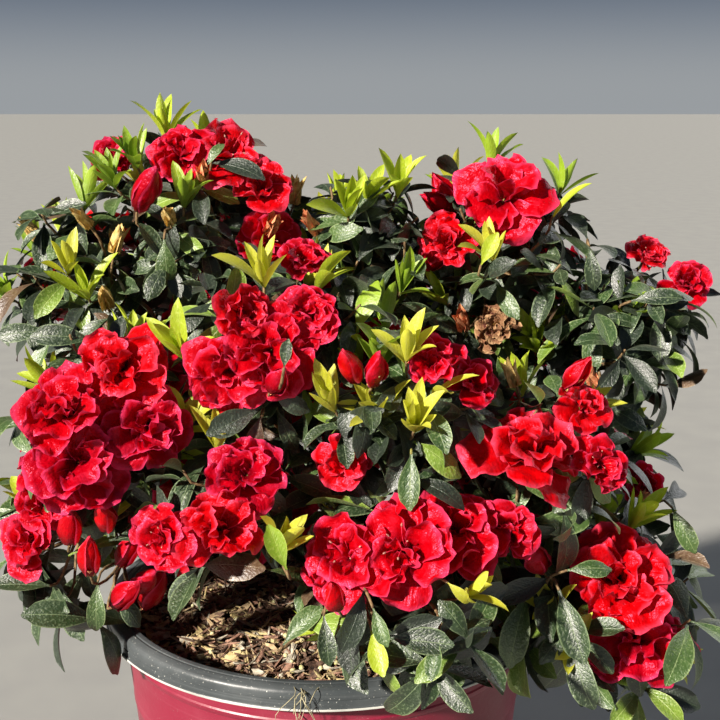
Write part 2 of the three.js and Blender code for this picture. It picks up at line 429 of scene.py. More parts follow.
class Coat:
    """A material in the making: its shader, its nodes, and where its patterns are read."""

    def __init__(self, name: str, **uniform: object) -> None:
        """Makes the material, and sets its shader's uniform numbers.

        Args:
            name: The material's name.
            uniform: Values by the shader's socket name, with underscores for spaces.
        """
        self.material = bpy.data.materials.new(name)
        self.material.use_nodes = True
        self.tree = self.material.node_tree
        self.shader = self.tree.nodes["Principled BSDF"]
        for key, value in uniform.items():
            self.shader.inputs[key.replace("_", " ")].default_value = value
        self.add = partial(add_node, self.tree)
        self.where = self.add("TexCoord", output="Object")

    def blade_map(self) -> tuple[Socket, Socket, Socket]:
        """Reads the map that follows each blade.

        Returns:
            The way along it, the way over it, and how far from its midrib.
        """
        along, over, _ = self.add("SeparateXYZ", (self.add("UVMap", uv_map="Blade"),)).node.outputs
        swing = self.add("Math", (over, 2.0, -1.0), operation="MULTIPLY_ADD")
        return along, over, self.add("Math", (swing,), operation="ABSOLUTE")

    def finished(
        self, ground: str, layers: Sequence[tuple[Socket, str]], relief: Socket,
        strength: float, depth: float, gloss: Socket | None = None, passed: float = 0.0,
    ) -> bpy.types.Material:
        """Lays the colours over each other, and links them and the relief to the shader.

        Args:
            ground: The colour under them all.
            layers: The share and the colour of each that lies over it.
            relief: How high the surface stands.
            strength: How much of the relief shows.
            depth: The relief's depth in millimetres.
            gloss: The roughness, where it isn't uniform.
            passed: The share of light that shines through in the surface's own colour.

        Returns:
            The material.
        """
        colour: str | Socket = ground
        for share, over in layers:
            colour = self.add("Mix", {0: share, 6: colour, 7: over}, 2, data_type="RGBA")
        bump = {"Strength": strength, "Distance": depth * MM, "Height": relief}
        ends = {"Base Color": colour, "Normal": self.add("Bump", bump)}
        if gloss:
            ends["Roughness"] = gloss
        for name, source in ends.items():
            self.tree.links.new(source, self.shader.inputs[name])
        if passed:
            through = self.add("BsdfTranslucent", {"Color": colour})
            both = self.add("MixShader", (passed, self.shader.outputs[0], through))
            self.tree.links.new(both, self.tree.nodes["Material Output"].inputs[0])
        return self.material


@dataclass(frozen=True)
class LeafSkin:
    """An evergreen azalea leaf: thick waxy skin, pressed-in veins and short pale hairs.

    The eye sees a dark blade with a lighter midrib, a puckered surface flecked with pale specks
    painted as grey-green glints, and a thin pale margin.
    """

    name: str
    blade: str
    patch: str
    # rib: the midrib and margin colour, which also paints the pale glints
    rib: str
    roughness: float = 0.43
    sheen: float = 0.10
    pucker: float = 0.21  # mm, how deep the net of small veins is pressed in
    passed: float = 0.0  # the share of light that shines through

    def dress(self) -> bpy.types.Material:
        """Makes the material.

        Returns:
            The material.
        """
        coat = Coat(
            self.name, IOR=1.5, Specular_IOR_Level=1.0, Sheen_Weight=self.sheen,
            Sheen_Roughness=0.45, Sheen_Tint=linear("#d3d9bd"),
        )
        add, where = coat.add, coat.where
        along, _, side = coat.blade_map()
        rib = add("MapRange", (side, 0.005, 0.05, 0.6, 0.0), interpolation_type="SMOOTHSTEP")
        margin = add("MapRange", (side, 0.86, 1.0, 0.0, 0.7))
        # Seven pairs of side veins, each running forward from the midrib
        slant = add("Math", (side, -0.30, along), operation="MULTIPLY_ADD")
        turns = add("Math", (slant, 7 * math.tau), operation="MULTIPLY")
        wave = add("Math", (turns,), operation="SINE")
        vein = add("MapRange", (wave, 0.62, 1.0, 0.0, 0.3))
        # The net of small veins, 1.3 mm across, drawn coarser than life so that it shows
        net = add("TexNoise", {"Vector": where, "Scale": 1 / (1.3 * MM), "Detail": 2.0})
        broad = add("TexNoise", {"Vector": where, "Scale": 1 / (22 * MM), "Detail": 2.0})
        patches = add("MapRange", (broad, 0.38, 0.62, 0.0, 1.0))
        # Pale specks of the rib colour where the net stands highest: painted glints
        specks = add("MapRange", (net, 0.54, 0.70, 0.0, 0.30))
        pale = add("Math", (rib, margin), operation="MAXIMUM")
        soft = add("Math", (pale, 0.7), operation="MULTIPLY")
        gloss = add("MapRange", (net, 0.3, 0.7, self.roughness - 0.07, self.roughness + 0.14))
        lines = add("Math", (rib, vein), operation="MAXIMUM")
        pressed = add("Math", (lines, -0.22), operation="MULTIPLY")
        relief = add("Math", (net, 2.4 * self.pucker, pressed), operation="MULTIPLY_ADD")
        layers = ((patches, self.patch), (specks, self.rib), (soft, self.rib))
        return coat.finished(self.blade, layers, relief, 0.9, 1.0, gloss, self.passed)


@dataclass(frozen=True)
class PetalSkin:
    """An azalea petal: thin, soft and finely veined, with a crumpled, velvety surface.

    The eye sees saturated red, darkened towards the throat by painted shade, painted pink
    highlights on the crests of its folds, and a fine painted highlight along its edge.
    """

    name: str
    # throat is the painted shade of the flower's heart; edge is the pink of its painted highlights
    throat: str
    face: str
    edge: str
    roughness: float = 0.34
    sheen: float = 0.05
    crumple: float = 0.55  # mm
    passed: float = 0.36  # the share of light that shines through

    def dress(self) -> bpy.types.Material:
        """Makes the material.

        Returns:
            The material.
        """
        coat = Coat(
            self.name, IOR=1.45, Specular_IOR_Level=0.7, Specular_Tint=linear("#ff86b4"),
            Sheen_Weight=self.sheen, Sheen_Roughness=0.35, Sheen_Tint=linear("#ff6f8c"),
            Roughness=self.roughness,
        )
        add, where = coat.add, coat.where
        along, over, side = coat.blade_map()
        # A painted highlight along the edge, and painted shade towards the throat
        outer = add("Math", (side, along), operation="MAXIMUM")
        edge_highlight = add("MapRange", (outer, 0.84, 1.0, 0.0, 0.65), interpolation_type="SMOOTHSTEP")
        deep = add("MapRange", (along, 0.05, 0.6, 1.0, 0.0), interpolation_type="SMOOTHSTEP")
        # Soft folds about 7 mm apart and fine crumples under 2 mm
        folds = add("TexNoise", {"Vector": where, "Scale": 1 / (6.7 * MM), "Detail": 3.0})
        fine = add("TexNoise", {"Vector": where, "Scale": 1 / (1.6 * MM), "Detail": 2.0})
        # Twelve veins fan out from the claw and waver with the folds
        bent = add("Math", (folds, 0.10, over), operation="MULTIPLY_ADD")
        turns = add("Math", (bent, 12 * math.tau), operation="MULTIPLY")
        wave = add("Math", (turns,), operation="SINE")
        vein = add("MapRange", (wave, 0.4, 1.0, 0.0, 1.0))
        # Pink painted highlight on the crests of the folds
        tone = add("MapRange", (folds, 0.50, 0.76, 0.0, 0.18))
        grooves = add("Math", (vein, -0.07), operation="MULTIPLY")
        wrinkled = add("Math", (fine, 0.9 * self.crumple, grooves), operation="MULTIPLY_ADD")
        relief = add("Math", (folds, 4.0 * self.crumple, wrinkled), operation="MULTIPLY_ADD")
        layers = ((tone, self.edge), (deep, self.throat), (edge_highlight, self.edge))
        return coat.finished(self.face, layers, relief, 0.8, 1.0, passed=self.passed)


@dataclass(frozen=True)
class Grained:
    """A rough natural surface, such as bark, twig, scale, bark chip or prill.

    The eye sees two tones broken up at the grain's own scale, and relief that catches light.
    """

    name: str
    light: str
    dark: str
    grain: float  # mm, the size of the patches
    relief: float  # mm
    roughness: float = 0.85
    stretch: tuple[float, float, float] = (1.0, 1.0, 1.0)

    def dress(self) -> bpy.types.Material:
        """Makes the material.

        Returns:
            The material.
        """
        coat = Coat(self.name, IOR=1.45, Specular_IOR_Level=0.35)
        add = coat.add
        drawn = add("Mapping", {"Vector": coat.where, "Scale": self.stretch})
        patches, fine = (
            add("TexNoise", {"Vector": drawn, "Scale": finer / (self.grain * MM), "Detail": detail})
            for finer, detail in ((1, 6.0), (4, 3.0))
        )
        share = add("MapRange", (patches, 0.36, 0.64, 0.0, 1.0))
        gloss = add("MapRange", (fine, 0.3, 0.7, self.roughness - 0.12, self.roughness))
        relief = add("Math", (fine, 0.5, patches), operation="MULTIPLY_ADD")
        layers = ((share, self.light),)
        return coat.finished(self.dark, layers, relief, 0.9, 2 * self.relief, gloss)


@dataclass(frozen=True)
class MouldedPlastic:
    """Thin injection-moulded polypropylene, as nursery pots are, worn and dusty outdoors.

    The eye sees an even satin colour, faint drag lines round the wall, a haze of dried water
    marks and pale specks of grit; on the rim, a painted highlight lies pale along the bead.
    """

    name: str
    colour: str
    worn: str
    dust_and_highlight: str
    roughness: float = 0.40
    specks: float = 0.5  # how much of the grit shows
    bead_highlight_height: float = -100.0  # mm, the height of the bead where a highlight is painted pale

    def dress(self) -> bpy.types.Material:
        """Makes the material.

        Returns:
            The material.
        """
        coat = Coat(self.name, IOR=1.49, Specular_IOR_Level=0.5)
        add, where = coat.add, coat.where
        # Water marks 45 mm across, grit of 1.1 mm and an orange peel of 3.8 mm
        haze, grit, peel = (
            add("TexNoise", {"Vector": where, "Scale": 1 / (size * MM), "Detail": detail})
            for size, detail in ((45, 5.0), (1.1, 2.0), (3.8, 2.0))
        )
        # Drag lines: noise squeezed along Z, so that it runs round the pot
        squeezed = add("Mapping", {"Vector": where, "Scale": (6.0, 6.0, 520.0)})
        lines = add("TexNoise", {"Vector": squeezed, "Scale": 1.0, "Detail": 3.0})
        height = add("SeparateXYZ", (where,), 2)
        # A pale band at the bead's height, mottled by the water marks: a painted highlight on the
        # flange
        edge = add("Math", (height, self.bead_highlight_height * MM, 0.9 * MM), operation="COMPARE")
        painted_highlight = add("MapRange", (haze, 0.3, 0.6, 0.35, 0.9))
        layers = (
            (add("MapRange", (haze, 0.44, 0.74, 0.0, 0.4)), self.worn),
            (add("MapRange", (lines, 0.56, 0.74, 0.0, 0.22)), self.worn),
            (add("MapRange", (grit, 0.68, 0.76, 0.0, self.specks)), self.dust_and_highlight),
            (add("Math", (edge, painted_highlight), operation="MULTIPLY"), self.dust_and_highlight),
        )
        gloss = add("MapRange", (haze, 0.35, 0.7, self.roughness - 0.08, self.roughness + 0.2))
        relief = add("Math", (lines, 0.5, peel), operation="MULTIPLY_ADD")
        return coat.finished(self.colour, layers, relief, 0.35, 0.4, gloss)


# The third is a lighter copy that paints sunlit leaves; the fifth, a near-black copy, paints shade
MATURE_SKINS = (
    LeafSkin("leaf_dark_green", "#14260f", "#243a18", "#8fa376"),
    LeafSkin("leaf_mid_green", "#2a4418", "#425c26", "#a3b57c"),
    LeafSkin("leaf_painted_sunlit_green", "#526c1e", "#75902e", "#bccb7c"),
    LeafSkin("leaf_bronze", "#443022", "#5c452f", "#8d7a58"),
    LeafSkin("leaf_painted_shade_green", "#0c180c", "#162615", "#4e6044", 0.46),
)
PAINTED_SHADE_LEAF = 4  # the number of the last of them, the painted-shade copy
YOUNG_SKINS = (
    LeafSkin("leaf_young_lime", "#9fb41a", "#bccf2c", "#cfd868", 0.46, 0.04, 0.12, 0.34),
    LeafSkin("leaf_young_green", "#7c9d1e", "#9dbd2a", "#bccc62", 0.44, 0.04, 0.12, 0.34),
    LeafSkin("leaf_young_yellow", "#c0c32c", "#d2d343", "#dddb80", 0.48, 0.04, 0.12, 0.34),
)
PETAL_SKINS = (
    PetalSkin("petal_red", "#7a0008", "#c2000e", "#fb4a7a"),
    PetalSkin("petal_scarlet", "#860006", "#cc0208", "#fc5274"),
    PetalSkin("petal_crimson", "#6e000c", "#b60016", "#f64a80"),
    PetalSkin("petal_spent", "#3a281b", "#7d5d3e", "#c2a176", 0.8, 0.1, 1.8, 0.1),
)
SPENT_PETAL = 3  # the number of the last of them
SCALE_SKINS = (
    Grained("scale_orange", "#f0ab7c", "#cc7a54", 2.5, 0.3, 0.7),
    Grained("scale_tan", "#e0c584", "#b89a56", 2.5, 0.3, 0.75),
    Grained("calyx_green", "#8ea34a", "#6d7f33", 2.5, 0.2, 0.6),
)
CALYX = 2  # the number of the last of them
TWIG_SKINS = (
    Grained("twig_brown", "#8a7250", "#54412c", 3.0, 0.25, 0.8),
    Grained("twig_young", "#8f8b48", "#6d5a30", 3.0, 0.2, 0.7),
)
BARK_SKIN = Grained("azalea_bark", "#94806a", "#4d3c2e", 5.0, 0.6, 0.9, (1.0, 1.0, 0.35))
STAMEN_SKINS = (
    Grained("filament_red", "#e0304e", "#b8142f", 3.0, 0.1, 0.5),
    Grained("anther_dusky", "#cf9c8e", "#8c5148", 1.0, 0.2, 0.7),
)
CHIP_SKINS = (
    Grained("bark_chip_dark", "#745c4b", "#40312a", 4.0, 0.5, 0.92),
    Grained("bark_chip_red", "#a3806c", "#6e4f40", 4.0, 0.5, 0.9),
    Grained("bark_chip_tan", "#bea884", "#8f775a", 4.0, 0.4, 0.88),
    Grained("bark_chip_grey", "#c2b9a6", "#8f8777", 4.0, 0.4, 0.9),
    Grained("bark_chip_straw", "#c3b386", "#a18d60", 4.0, 0.4, 0.85),
)
MIX_SKIN = Grained("damp_bark_mix", "#5a4132", "#1e130d", 5.0, 1.2, 0.95)
PRILL_SKIN = Grained("fertiliser_prill", "#ddd7ac", "#a9a46a", 3.0, 0.2, 0.6)
STRAW_SKIN = Grained("dry_grass", "#b9b294", "#7d7658", 6.0, 0.1, 0.75)
POT_SKIN = MouldedPlastic("maroon_polypropylene", "#7e1c33", "#9a4858", "#d2b3ae", 0.38, 0.25)
# Its pale grit colour also paints a highlight along the bead at 227.6 mm
RIM_SKIN = MouldedPlastic(
    "charcoal_polypropylene", "#3c4143", "#767b7d", "#d4d4cc", 0.34, 0.9, 227.6
)
FLOOR_SKIN = Grained("studio_floor", "#93938f", "#8e8e8b", 60.0, 0.02, 0.9)


def leaf_outline(along: float) -> float:
    """The half width of an oval, blunt leaf on a short stalk, as a share of its widest."""
    rise = math.sin(math.pi / 2 * min(1.0, along / 0.58)) ** 1.5
    return max(0.10, rise * math.sqrt(1 - 0.84 * (max(0.0, along - 0.58) / 0.42) ** 2.8))


def young_outline(along: float) -> float:
    """The half width of a slender, pointed young leaf, as a share of its widest."""
    return max(0.14 * (1 - along), math.sin(math.pi * along**1.1) ** 0.7)


def petal_outline(along: float) -> float:
    """The half width of a petal with a narrow claw and a broad, round end."""
    claw = 0.26 + 0.74 * math.sin(math.pi / 2 * min(1.0, along / 0.68)) ** 1.25
    return claw * math.sqrt(1 - 0.52 * (max(0.0, along - 0.68) / 0.32) ** 2)


def scale_outline(along: float) -> float:
    """The half width of a broad-based, pointed bud scale."""
    return max(0.04, (0.72 + 0.6 * along) * (1 - along**2.2))


@dataclass(frozen=True)
class Template:
    """A small mesh that is copied many times."""

    points: np.ndarray
    corners: np.ndarray
    sizes: np.ndarray
    spread: np.ndarray

    @cached_property
    def faces(self) -> list[list[int]]:
        """The corners of each face."""
        return [face.tolist() for face in np.split(self.corners, np.cumsum(self.sizes)[:-1])]

    def moved(self, place: np.ndarray | None) -> np.ndarray:
        """The points of a copy at a place, which None leaves where they are."""
        return self.points if place is None else self.points @ place[:, :3].T + place[:, 3]

    @classmethod
    def taken(cls, obj: Piece) -> "Template":
        """Reads a shaped object, and removes it.

        Args:
            obj: The object.

        Returns:
            Its mesh as a template.
        """
        bpy.ops.object.mode_set(mode="OBJECT")
        mesh = obj.data
        template = cls(
            np.array([vert.co[:] for vert in mesh.vertices]),
            np.array([loop.vertex_index for loop in mesh.loops], np.int32),
            np.array([face.loop_total for face in mesh.polygons], np.int32),
            np.array([corner.vector[:] for corner in mesh.uv_layers[0].uv]),
        )
        bpy.data.objects.remove(obj)
        bpy.data.meshes.remove(mesh)
        return template


@dataclass(frozen=True)
class Blade:
    """A leaf, petal or scale: a grid along +X from its base, with its face up."""

    length: float
    width: float
    cup: float  # how high the margins stand over the midrib, in half widths
    arch: float  # degrees that it curls back over its length
    arch_tipward: float  # from -1, all near the base, to 1, all near the tip
    twist: float = 0.0  # degrees
    ruffle: float = 0.0  # mm
    ruffle_scale: float = 9.0
    round_end: float = 0.0  # how far the corners of the end are drawn back, in lengths
    outline: Callable[[float], float] = leaf_outline
    rows: int = 8
    columns: int = 4
    cup_power: float = 1.3

    def made(self, order: int) -> Template:
        """Shapes the blade.

        Args:
            order: A number of its own, which picks its part of the ruffle's noise.

        Returns:
            The blade as a template.
        """
        blade = new_grid(self.rows, self.columns)
        resize(self.length * MM, self.width * MM, self.length * MM)
        self._cup(blade)
        for row in range(self.rows + 1):
            share = self.outline(row / self.rows)
            self._choose(blade, range(row, row + 1))
            resize(1.0, share, share, (row / self.rows * self.length * MM, 0.0, 0.0))
        if self.twist:
            for row in range(1, self.rows + 1):
                self._choose(blade, range(row, self.rows + 1))
                turn_about("X", self.twist / self.rows)
        self._arch(blade)
        bpy.ops.mesh.select_all(action="SELECT")
        bpy.ops.mesh.remove_doubles(threshold=0.02 * MM)
        bpy.ops.object.mode_set(mode="OBJECT")
        if self.ruffle:
            self._ruffle(blade, order)
        return Template.taken(blade)

    def _choose(self, blade: Piece, rows: range, column: int | None = None) -> None:
        """Selects the grid's vertices in some rows, and in one column where it is given."""
        tall = self.rows + 1
        choose(blade, lambda v: v.index % tall in rows and column in (None, v.index // tall))

    def _cup(self, blade: Piece) -> None:
        """Lifts the columns beside the midrib, and draws back the ends of the outer ones.

        Args:
            blade: The blade in edit mode.
        """
        for column in range(self.columns + 1):
            side = 2 * column / self.columns - 1
            lift = self.cup * self.width / 2 * MM * abs(side) ** self.cup_power
            self._choose(blade, range(self.rows + 1), column)
            bpy.ops.transform.translate(value=(0.0, 0.0, lift))
            for row in range(self.rows // 2, self.rows + 1):
                share = (row / self.rows - 0.5) * 2
                back = -self.round_end * self.length * MM * side**2 * share
                if back:
                    self._choose(blade, range(row, row + 1), column)
                    bpy.ops.transform.translate(value=(back, 0.0, 0.0))

    def _arch(self, blade: Piece) -> None:
        """Curls the rows back, each round the row before it.

        Args:
            blade: The blade in edit mode.
        """
        middle = self.columns // 2 * (self.rows + 1)
        for row in range(1, self.rows + 1):
            weight = 1 + self.arch_tipward * (2 * row / self.rows - 1)
            net = bmesh.from_edit_mesh(blade.data)
            net.verts.ensure_lookup_table()
            hinge = net.verts[middle + row - 1].co.copy()
            self._choose(blade, range(row, self.rows + 1))
            turn_about("Y", -self.arch / self.rows * weight, (hinge.x, 0.0, hinge.z))

    def _ruffle(self, blade: Piece, order: int) -> None:
        """Throws the blade into folds that grow towards its edge.

        Args:
            blade: The blade.
            order: Its number.
        """
        rim = blade.vertex_groups.new(name="rim")
        spread = blade.data.uv_layers[0].uv
        for loop in blade.data.loops:
            along, over = spread[loop.index].vector
            weight = max(along**1.6, abs(2 * over - 1) ** 1.5 * min(1.0, 2.2 * along))
            rim.add([loop.vertex_index], weight, "REPLACE")
        crumple(blade, order, self.ruffle_scale, self.ruffle, vertex_group="rim")


def shaped(
    first: int, variety: Sequence[Sequence[float]], **shared: object
) -> list[Template]:
    """Shapes the blades of one kind.

    Args:
        first: The order of the first.
        variety: For each blade, the values of its first fields.
        shared: The other fields, which they have in common.

    Returns:
        Their templates.
    """
    return [Blade(*row, **shared).made(first + order) for order, row in enumerate(variety)]


def tube(points: Sequence[Vector], radii: Sequence[float], sides: int = 5) -> Template:
    """Makes a closed tapering tube along points.

    Args:
        points: Its centre line, in metres.
        radii: Its radius in millimetres at each point, or only at the first and the last.
        sides: How many sides its section has.

    Returns:
        The tube as a template, already in place.
    """
    last = len(points) - 1
    widths = (np.linspace(*radii, last + 1) if len(radii) == 2 else np.array(radii)) * MM
    widths = widths.tolist()
    rings, side = [], None
    for at, point in enumerate(points):
        ahead = (points[min(at + 1, last)] - points[max(at - 1, 0)]).normalized()
        if side is None:
            side = ahead.orthogonal().normalized()
        side = (side - ahead * side.dot(ahead)).normalized()
        other = ahead.cross(side)
        for step in range(sides):
            turn = math.tau * step / sides
            rings.append(point + widths[at] * (side * math.cos(turn) + other * math.sin(turn)))
    root = len(rings)
    rings.append(points[0] + (points[0] - points[1]).normalized() * widths[0] * 0.6)
    rings.append(points[-1] + (points[-1] - points[-2]).normalized() * widths[-1])
    cap = 0.03  # the share of the map's length that each closed end takes
    corners, sizes, spread = [], [], []
    for at in range(last):
        start, end = (cap + 0.94 * row / last for row in (at, at + 1))
        low, high = at * sides, (at + 1) * sides
        for step in range(sides):
            after, left, right = (step + 1) % sides, step / sides, (step + 1) / sides
            corners += [low + step, low + after, high + after, high + step]
            spread += [(start, left), (start, right), (end, right), (end, left)]
    top = last * sides
    for step in range(sides):
        after, left, right = (step + 1) % sides, step / sides, (step + 1) / sides
        middle = (left + right) / 2
        corners += [root, after, step, root + 1, top + step, top + after]
        spread += [(0.0, middle), (cap, right), (cap, left)]
        spread += [(1.0, middle), (1 - cap, left), (1 - cap, right)]
    sizes = [4] * (last * sides) + [3] * (2 * sides)
    return Template(
        np.array(rings), np.array(corners, np.int32), np.array(sizes, np.int32), np.array(spread)
    )


def curve(
    start: Vector, leaving: Vector, end: Vector, arriving: Vector, steps: int
) -> list[Vector]:
    """Points on a smooth curve between two places.

    Args:
        start: Where it starts.
        leaving: Its direction there, of length one.
        end: Where it ends.
        arriving: Its direction there, of length one.
        steps: How many spans it has.

    Returns:
        The points, with both ends.
    """
    reach = (end - start).length * 0.38
    first, second = start + leaving * reach, end - arriving * reach
    found = []
    for t in (step / steps for step in range(steps + 1)):
        back = 1 - t
        bend = first * 3 * back**2 * t
        found.append(start * back**3 + bend + second * 3 * back * t**2 + end * t**3)
    return found


def placed(origin: Vector, along: Vector, face: Vector, scale: float = 1.0) -> np.ndarray:
    """The matrix that puts a blade at a place.

    Args:
        origin: Where its base goes.
        along: The way it points.
        face: Roughly the way that its face looks.
        scale: Its size against its template's.

    Returns:
        A matrix of three rows and four columns.
    """
    x = along.normalized()
    y = face.cross(x).normalized()
    return np.array([x * scale, y * scale, x.cross(y) * scale, origin]).T


def fanned(axis: Vector, turn: float, pitch: float) -> tuple[Vector, Vector]:
    """A direction that leans away from an axis, and the way that its upper side looks.

    Args:
        axis: The axis, of length one.
        turn: The angle round the axis, in radians.
        pitch: How far it leans from the axis, in radians.

    Returns:
        The direction, and the direction at right angles to it on the axis's side.
    """
    first = axis.orthogonal().normalized()
    out = first * math.cos(turn) + axis.cross(first) * math.sin(turn)
    sine, cosine = math.sin(pitch), math.cos(pitch)
    return axis * cosine + out * sine, axis * sine - out * cosine


@dataclass
class Heap:
    """Many copies of templates of one kind, joined into one piece.

    Each copy has its own cell of the second map, so that nothing overlaps on it.
    """

    name: str
    skins: Sequence[bpy.types.Material]
    mapped: bool = True
    margin: float = 0.04  # of each cell
    copies: list[tuple[Template, np.ndarray | None, int]] = field(default_factory=list)

    def add(self, template: Template, place: np.ndarray | None = None, skin: int = 0) -> None:
        """Adds a copy, which a place of None leaves where its template is."""
        self.copies.append((template, place, skin))

    def built(self) -> Piece:
        """Joins the copies.

        Returns:
            The piece.
        """
        points, corners, cells, skins, start = [], [], [], [], 0
        side = math.ceil(math.sqrt(max(1, len(self.copies))))
        for order, (template, place, skin) in enumerate(self.copies):
            points.append(template.moved(place))
            corners.append(template.corners + start)
            cell = np.array([order % side, order // side])
            room = template.spread * (1 - 2 * self.margin)
            cells.append((cell + self.margin + room) / side)
            skins.append(np.full(len(template.sizes), skin, np.int32))
            start += len(points[-1])
        sizes = np.concatenate([template.sizes for template, _, _ in self.copies])
        spread = np.concatenate([template.spread for template, _, _ in self.copies])
        mesh = bpy.data.meshes.new(self.name)
        mesh.vertices.add(start)
        mesh.vertices.foreach_set("co", np.concatenate(points).ravel())
        mesh.loops.add(len(spread))
        mesh.loops.foreach_set("vertex_index", np.concatenate(corners))
        mesh.polygons.add(len(sizes))
        mesh.polygons.foreach_set("loop_start", np.cumsum(sizes) - sizes)
        mesh.polygons.foreach_set("material_index", np.concatenate(skins))
        mesh.update(calc_edges=True)
        mesh.shade_smooth()
        if self.mapped:
            for name, places in (("Blade", spread), ("OFBake", np.concatenate(cells))):
                mesh.uv_layers.new(name=name).uv.foreach_set("vector", places.ravel())
        mesh.validate()
        for skin in self.skins:
            mesh.materials.append(skin)
        piece = bpy.data.objects.new(self.name, mesh)
        bpy.context.scene.collection.objects.link(piece)
        return piece


def spun(
    name: str, profile: Sequence[tuple[float, float]], steps: int, closed: bool = False
) -> Piece:
    """Turns a profile round the pot's axis.

    Args:
        name: The object's name.
        profile: Radius and height of each point, in millimetres.
        steps: How many steps the turn has.
        closed: Whether the profile joins up, and doesn't end on the axis.

    Returns:
        The turned object, with its faces pointing out.
    """
    alone()
    bpy.ops.mesh.primitive_plane_add(size=1 * MM)
    piece = bpy.context.object
    piece.name = name
    edit(piece)
    bpy.ops.mesh.merge(type="CENTER")
    bpy.ops.transform.translate(value=(profile[0][0] * MM, 0.0, profile[0][1] * MM))
    for before, after in zip(profile, profile[1:]):
        step = ((after[0] - before[0]) * MM, 0.0, (after[1] - before[1]) * MM)
        bpy.ops.mesh.extrude_region_move(TRANSFORM_OT_translate={"value": step})
    bpy.ops.mesh.select_all(action="SELECT")
    if closed:
        bpy.ops.mesh.edge_face_add()
        bpy.ops.mesh.delete(type="ONLY_FACE")
        bpy.ops.mesh.select_all(action="SELECT")
    bpy.ops.mesh.spin(steps=steps, angle=math.tau, center=(0, 0, 0), axis=(0, 0, 1))
    bpy.ops.mesh.select_all(action="SELECT")
    bpy.ops.mesh.remove_doubles(threshold=0.01 * MM)
    bpy.ops.mesh.normals_make_consistent(inside=False)
    bpy.ops.object.mode_set(mode="OBJECT")
    return piece


def arc(
    middle: tuple[float, float], radius: float, start: float, end: float, steps: int
) -> list[tuple[float, float]]:
    """Points on a round stretch of a profile, with its angles in degrees."""
    turns = np.radians(np.linspace(start, end, steps + 1))
    return [(middle[0] + radius * math.cos(t), middle[1] + radius * math.sin(t)) for t in turns]


@dataclass
class Pot:
    """The round tapered nursery pot: a thin wall and the rolled rim over its top edge."""

    height: float = 240.0
    rim_radius: float = 140.0
    top_radius: float = 130.0
    base_radius: float = 108.0
    wall: float = 1.8
    floor: float = 2.4
    heel: float = 4.0
    lip: float = 8.0
    rim_height: float = 13.0
    rim_foot: float = 229.0  # over which the rim is what blocks the way
    mix_top: float = 223.0
    steps: int = 112

    def radius(self, height: float) -> float:
        """The outer radius of the wall at a height."""
        rise = height / (self.height - self.lip)
        return self.base_radius + (self.top_radius - self.base_radius) * rise

    def build(self) -> None:
        """Builds both pieces, and puts them in place of the frame's."""
        for piece, skin, crease, slot, node in (
            (spun("pot_body", self._wall(), self.steps), POT_SKIN, 32, "pot_plastic", "pot_wall"),
            (spun("pot_rim_band", self._rim(), self.steps, True), RIM_SKIN, 38, "rim_plastic",
             "pot_rim"),
        ):
            piece.data.materials.append(skin.dress())
            pick(piece)
            bpy.ops.object.shade_smooth_by_angle(angle=math.radians(crease))
            hand_in(piece, slot, node)

    def _wall(self) -> list[tuple[float, float]]:
        """The wall's profile, with its moulded step lines, round heel and flat base.

        Returns:
            Its radii and heights.
        """
        top = self.height - self.lip
        foot = self.base_radius - self.heel
        above_floor = self.heel + self.floor
        # Heights of the outside, and how far it stands proud of the taper there
        outside = (
            (20, 0.0), (36, 0.0), (37, 0.7), (40, 0.7), (41.5, 0.0), (110, 0.0),
            (176, 0.0), (176.8, 0.35), (178.2, 0.35), (179, 0.0),
            (211, 0.0), (212, 0.7), (214.5, 0.9), (215.5, 0.25), (top, 0.0),
        )
        return [
            (0.0, 0.0),
            (foot * 0.5, 0.0),
            *arc((self.radius(self.heel) - self.heel, self.heel), self.heel, -90, 0, 5),
            *((self.radius(height) + proud, height) for height, proud in outside),
            (self.top_radius - self.wall, top),
            (self.radius(120) - self.wall, 120.0),
            (self.radius(above_floor) - self.wall, above_floor),
            (foot - self.wall, self.floor),
            (0.0, self.floor),
        ]

    def _rim(self) -> list[tuple[float, float]]:
        """The rolled rim's profile: a grooved top, a round shoulder, a band and a thin bead.

        Returns:
            Its radii and heights.
        """
        inner, outer = self.top_radius - self.wall, self.rim_radius - 0.6
        top, foot = self.height, self.height - self.rim_height
        seat = top - self.lip + 0.3
        groove = ((3.6, 0.15), (4.1, 0.6), (4.9, 0.6), (5.4, 0.25))
        band = ((0.05, 6.6), (-0.35, 7.0), (-0.35, 7.5), (0.1, 7.9))
        bead = ((0.15, 2.4), (0.9, 1.9), (1.3, 1.1), (1.2, 0.3), (0.6, 0.0))
        return [
            (self.top_radius + 0.3, seat),
            (inner, seat),
            *arc((inner + 1.4, top - 1.4), 1.4, 180, 90, 4),
            *((inner + out, top - down) for out, down in groove),
            *arc((outer - 3.2, top - 3.9), 3.2, 62, 0, 5),
            *((outer + out, top - down) for out, down in band),
            *((outer + out, foot + up) for out, up in bead),
            (self.top_radius + 0.3, foot),
        ]

    def blocks(self, point: Vector, clear: float = 2.0) -> bool:
        """Whether a point lies in the pot's plastic or in the mix.

        Args:
            point: The point.
            clear: How far from them it has to be, in millimetres.

        Returns:
            True if it does.
        """
        out = math.hypot(point.x, point.y) / MM
        high = point.z / MM
        if high > self.height + clear:
            return False
        if high < self.rim_foot:
            return out < self.radius(max(high, 0.0)) + clear + 1
        return self.top_radius - self.wall - clear < out < self.rim_radius + clear


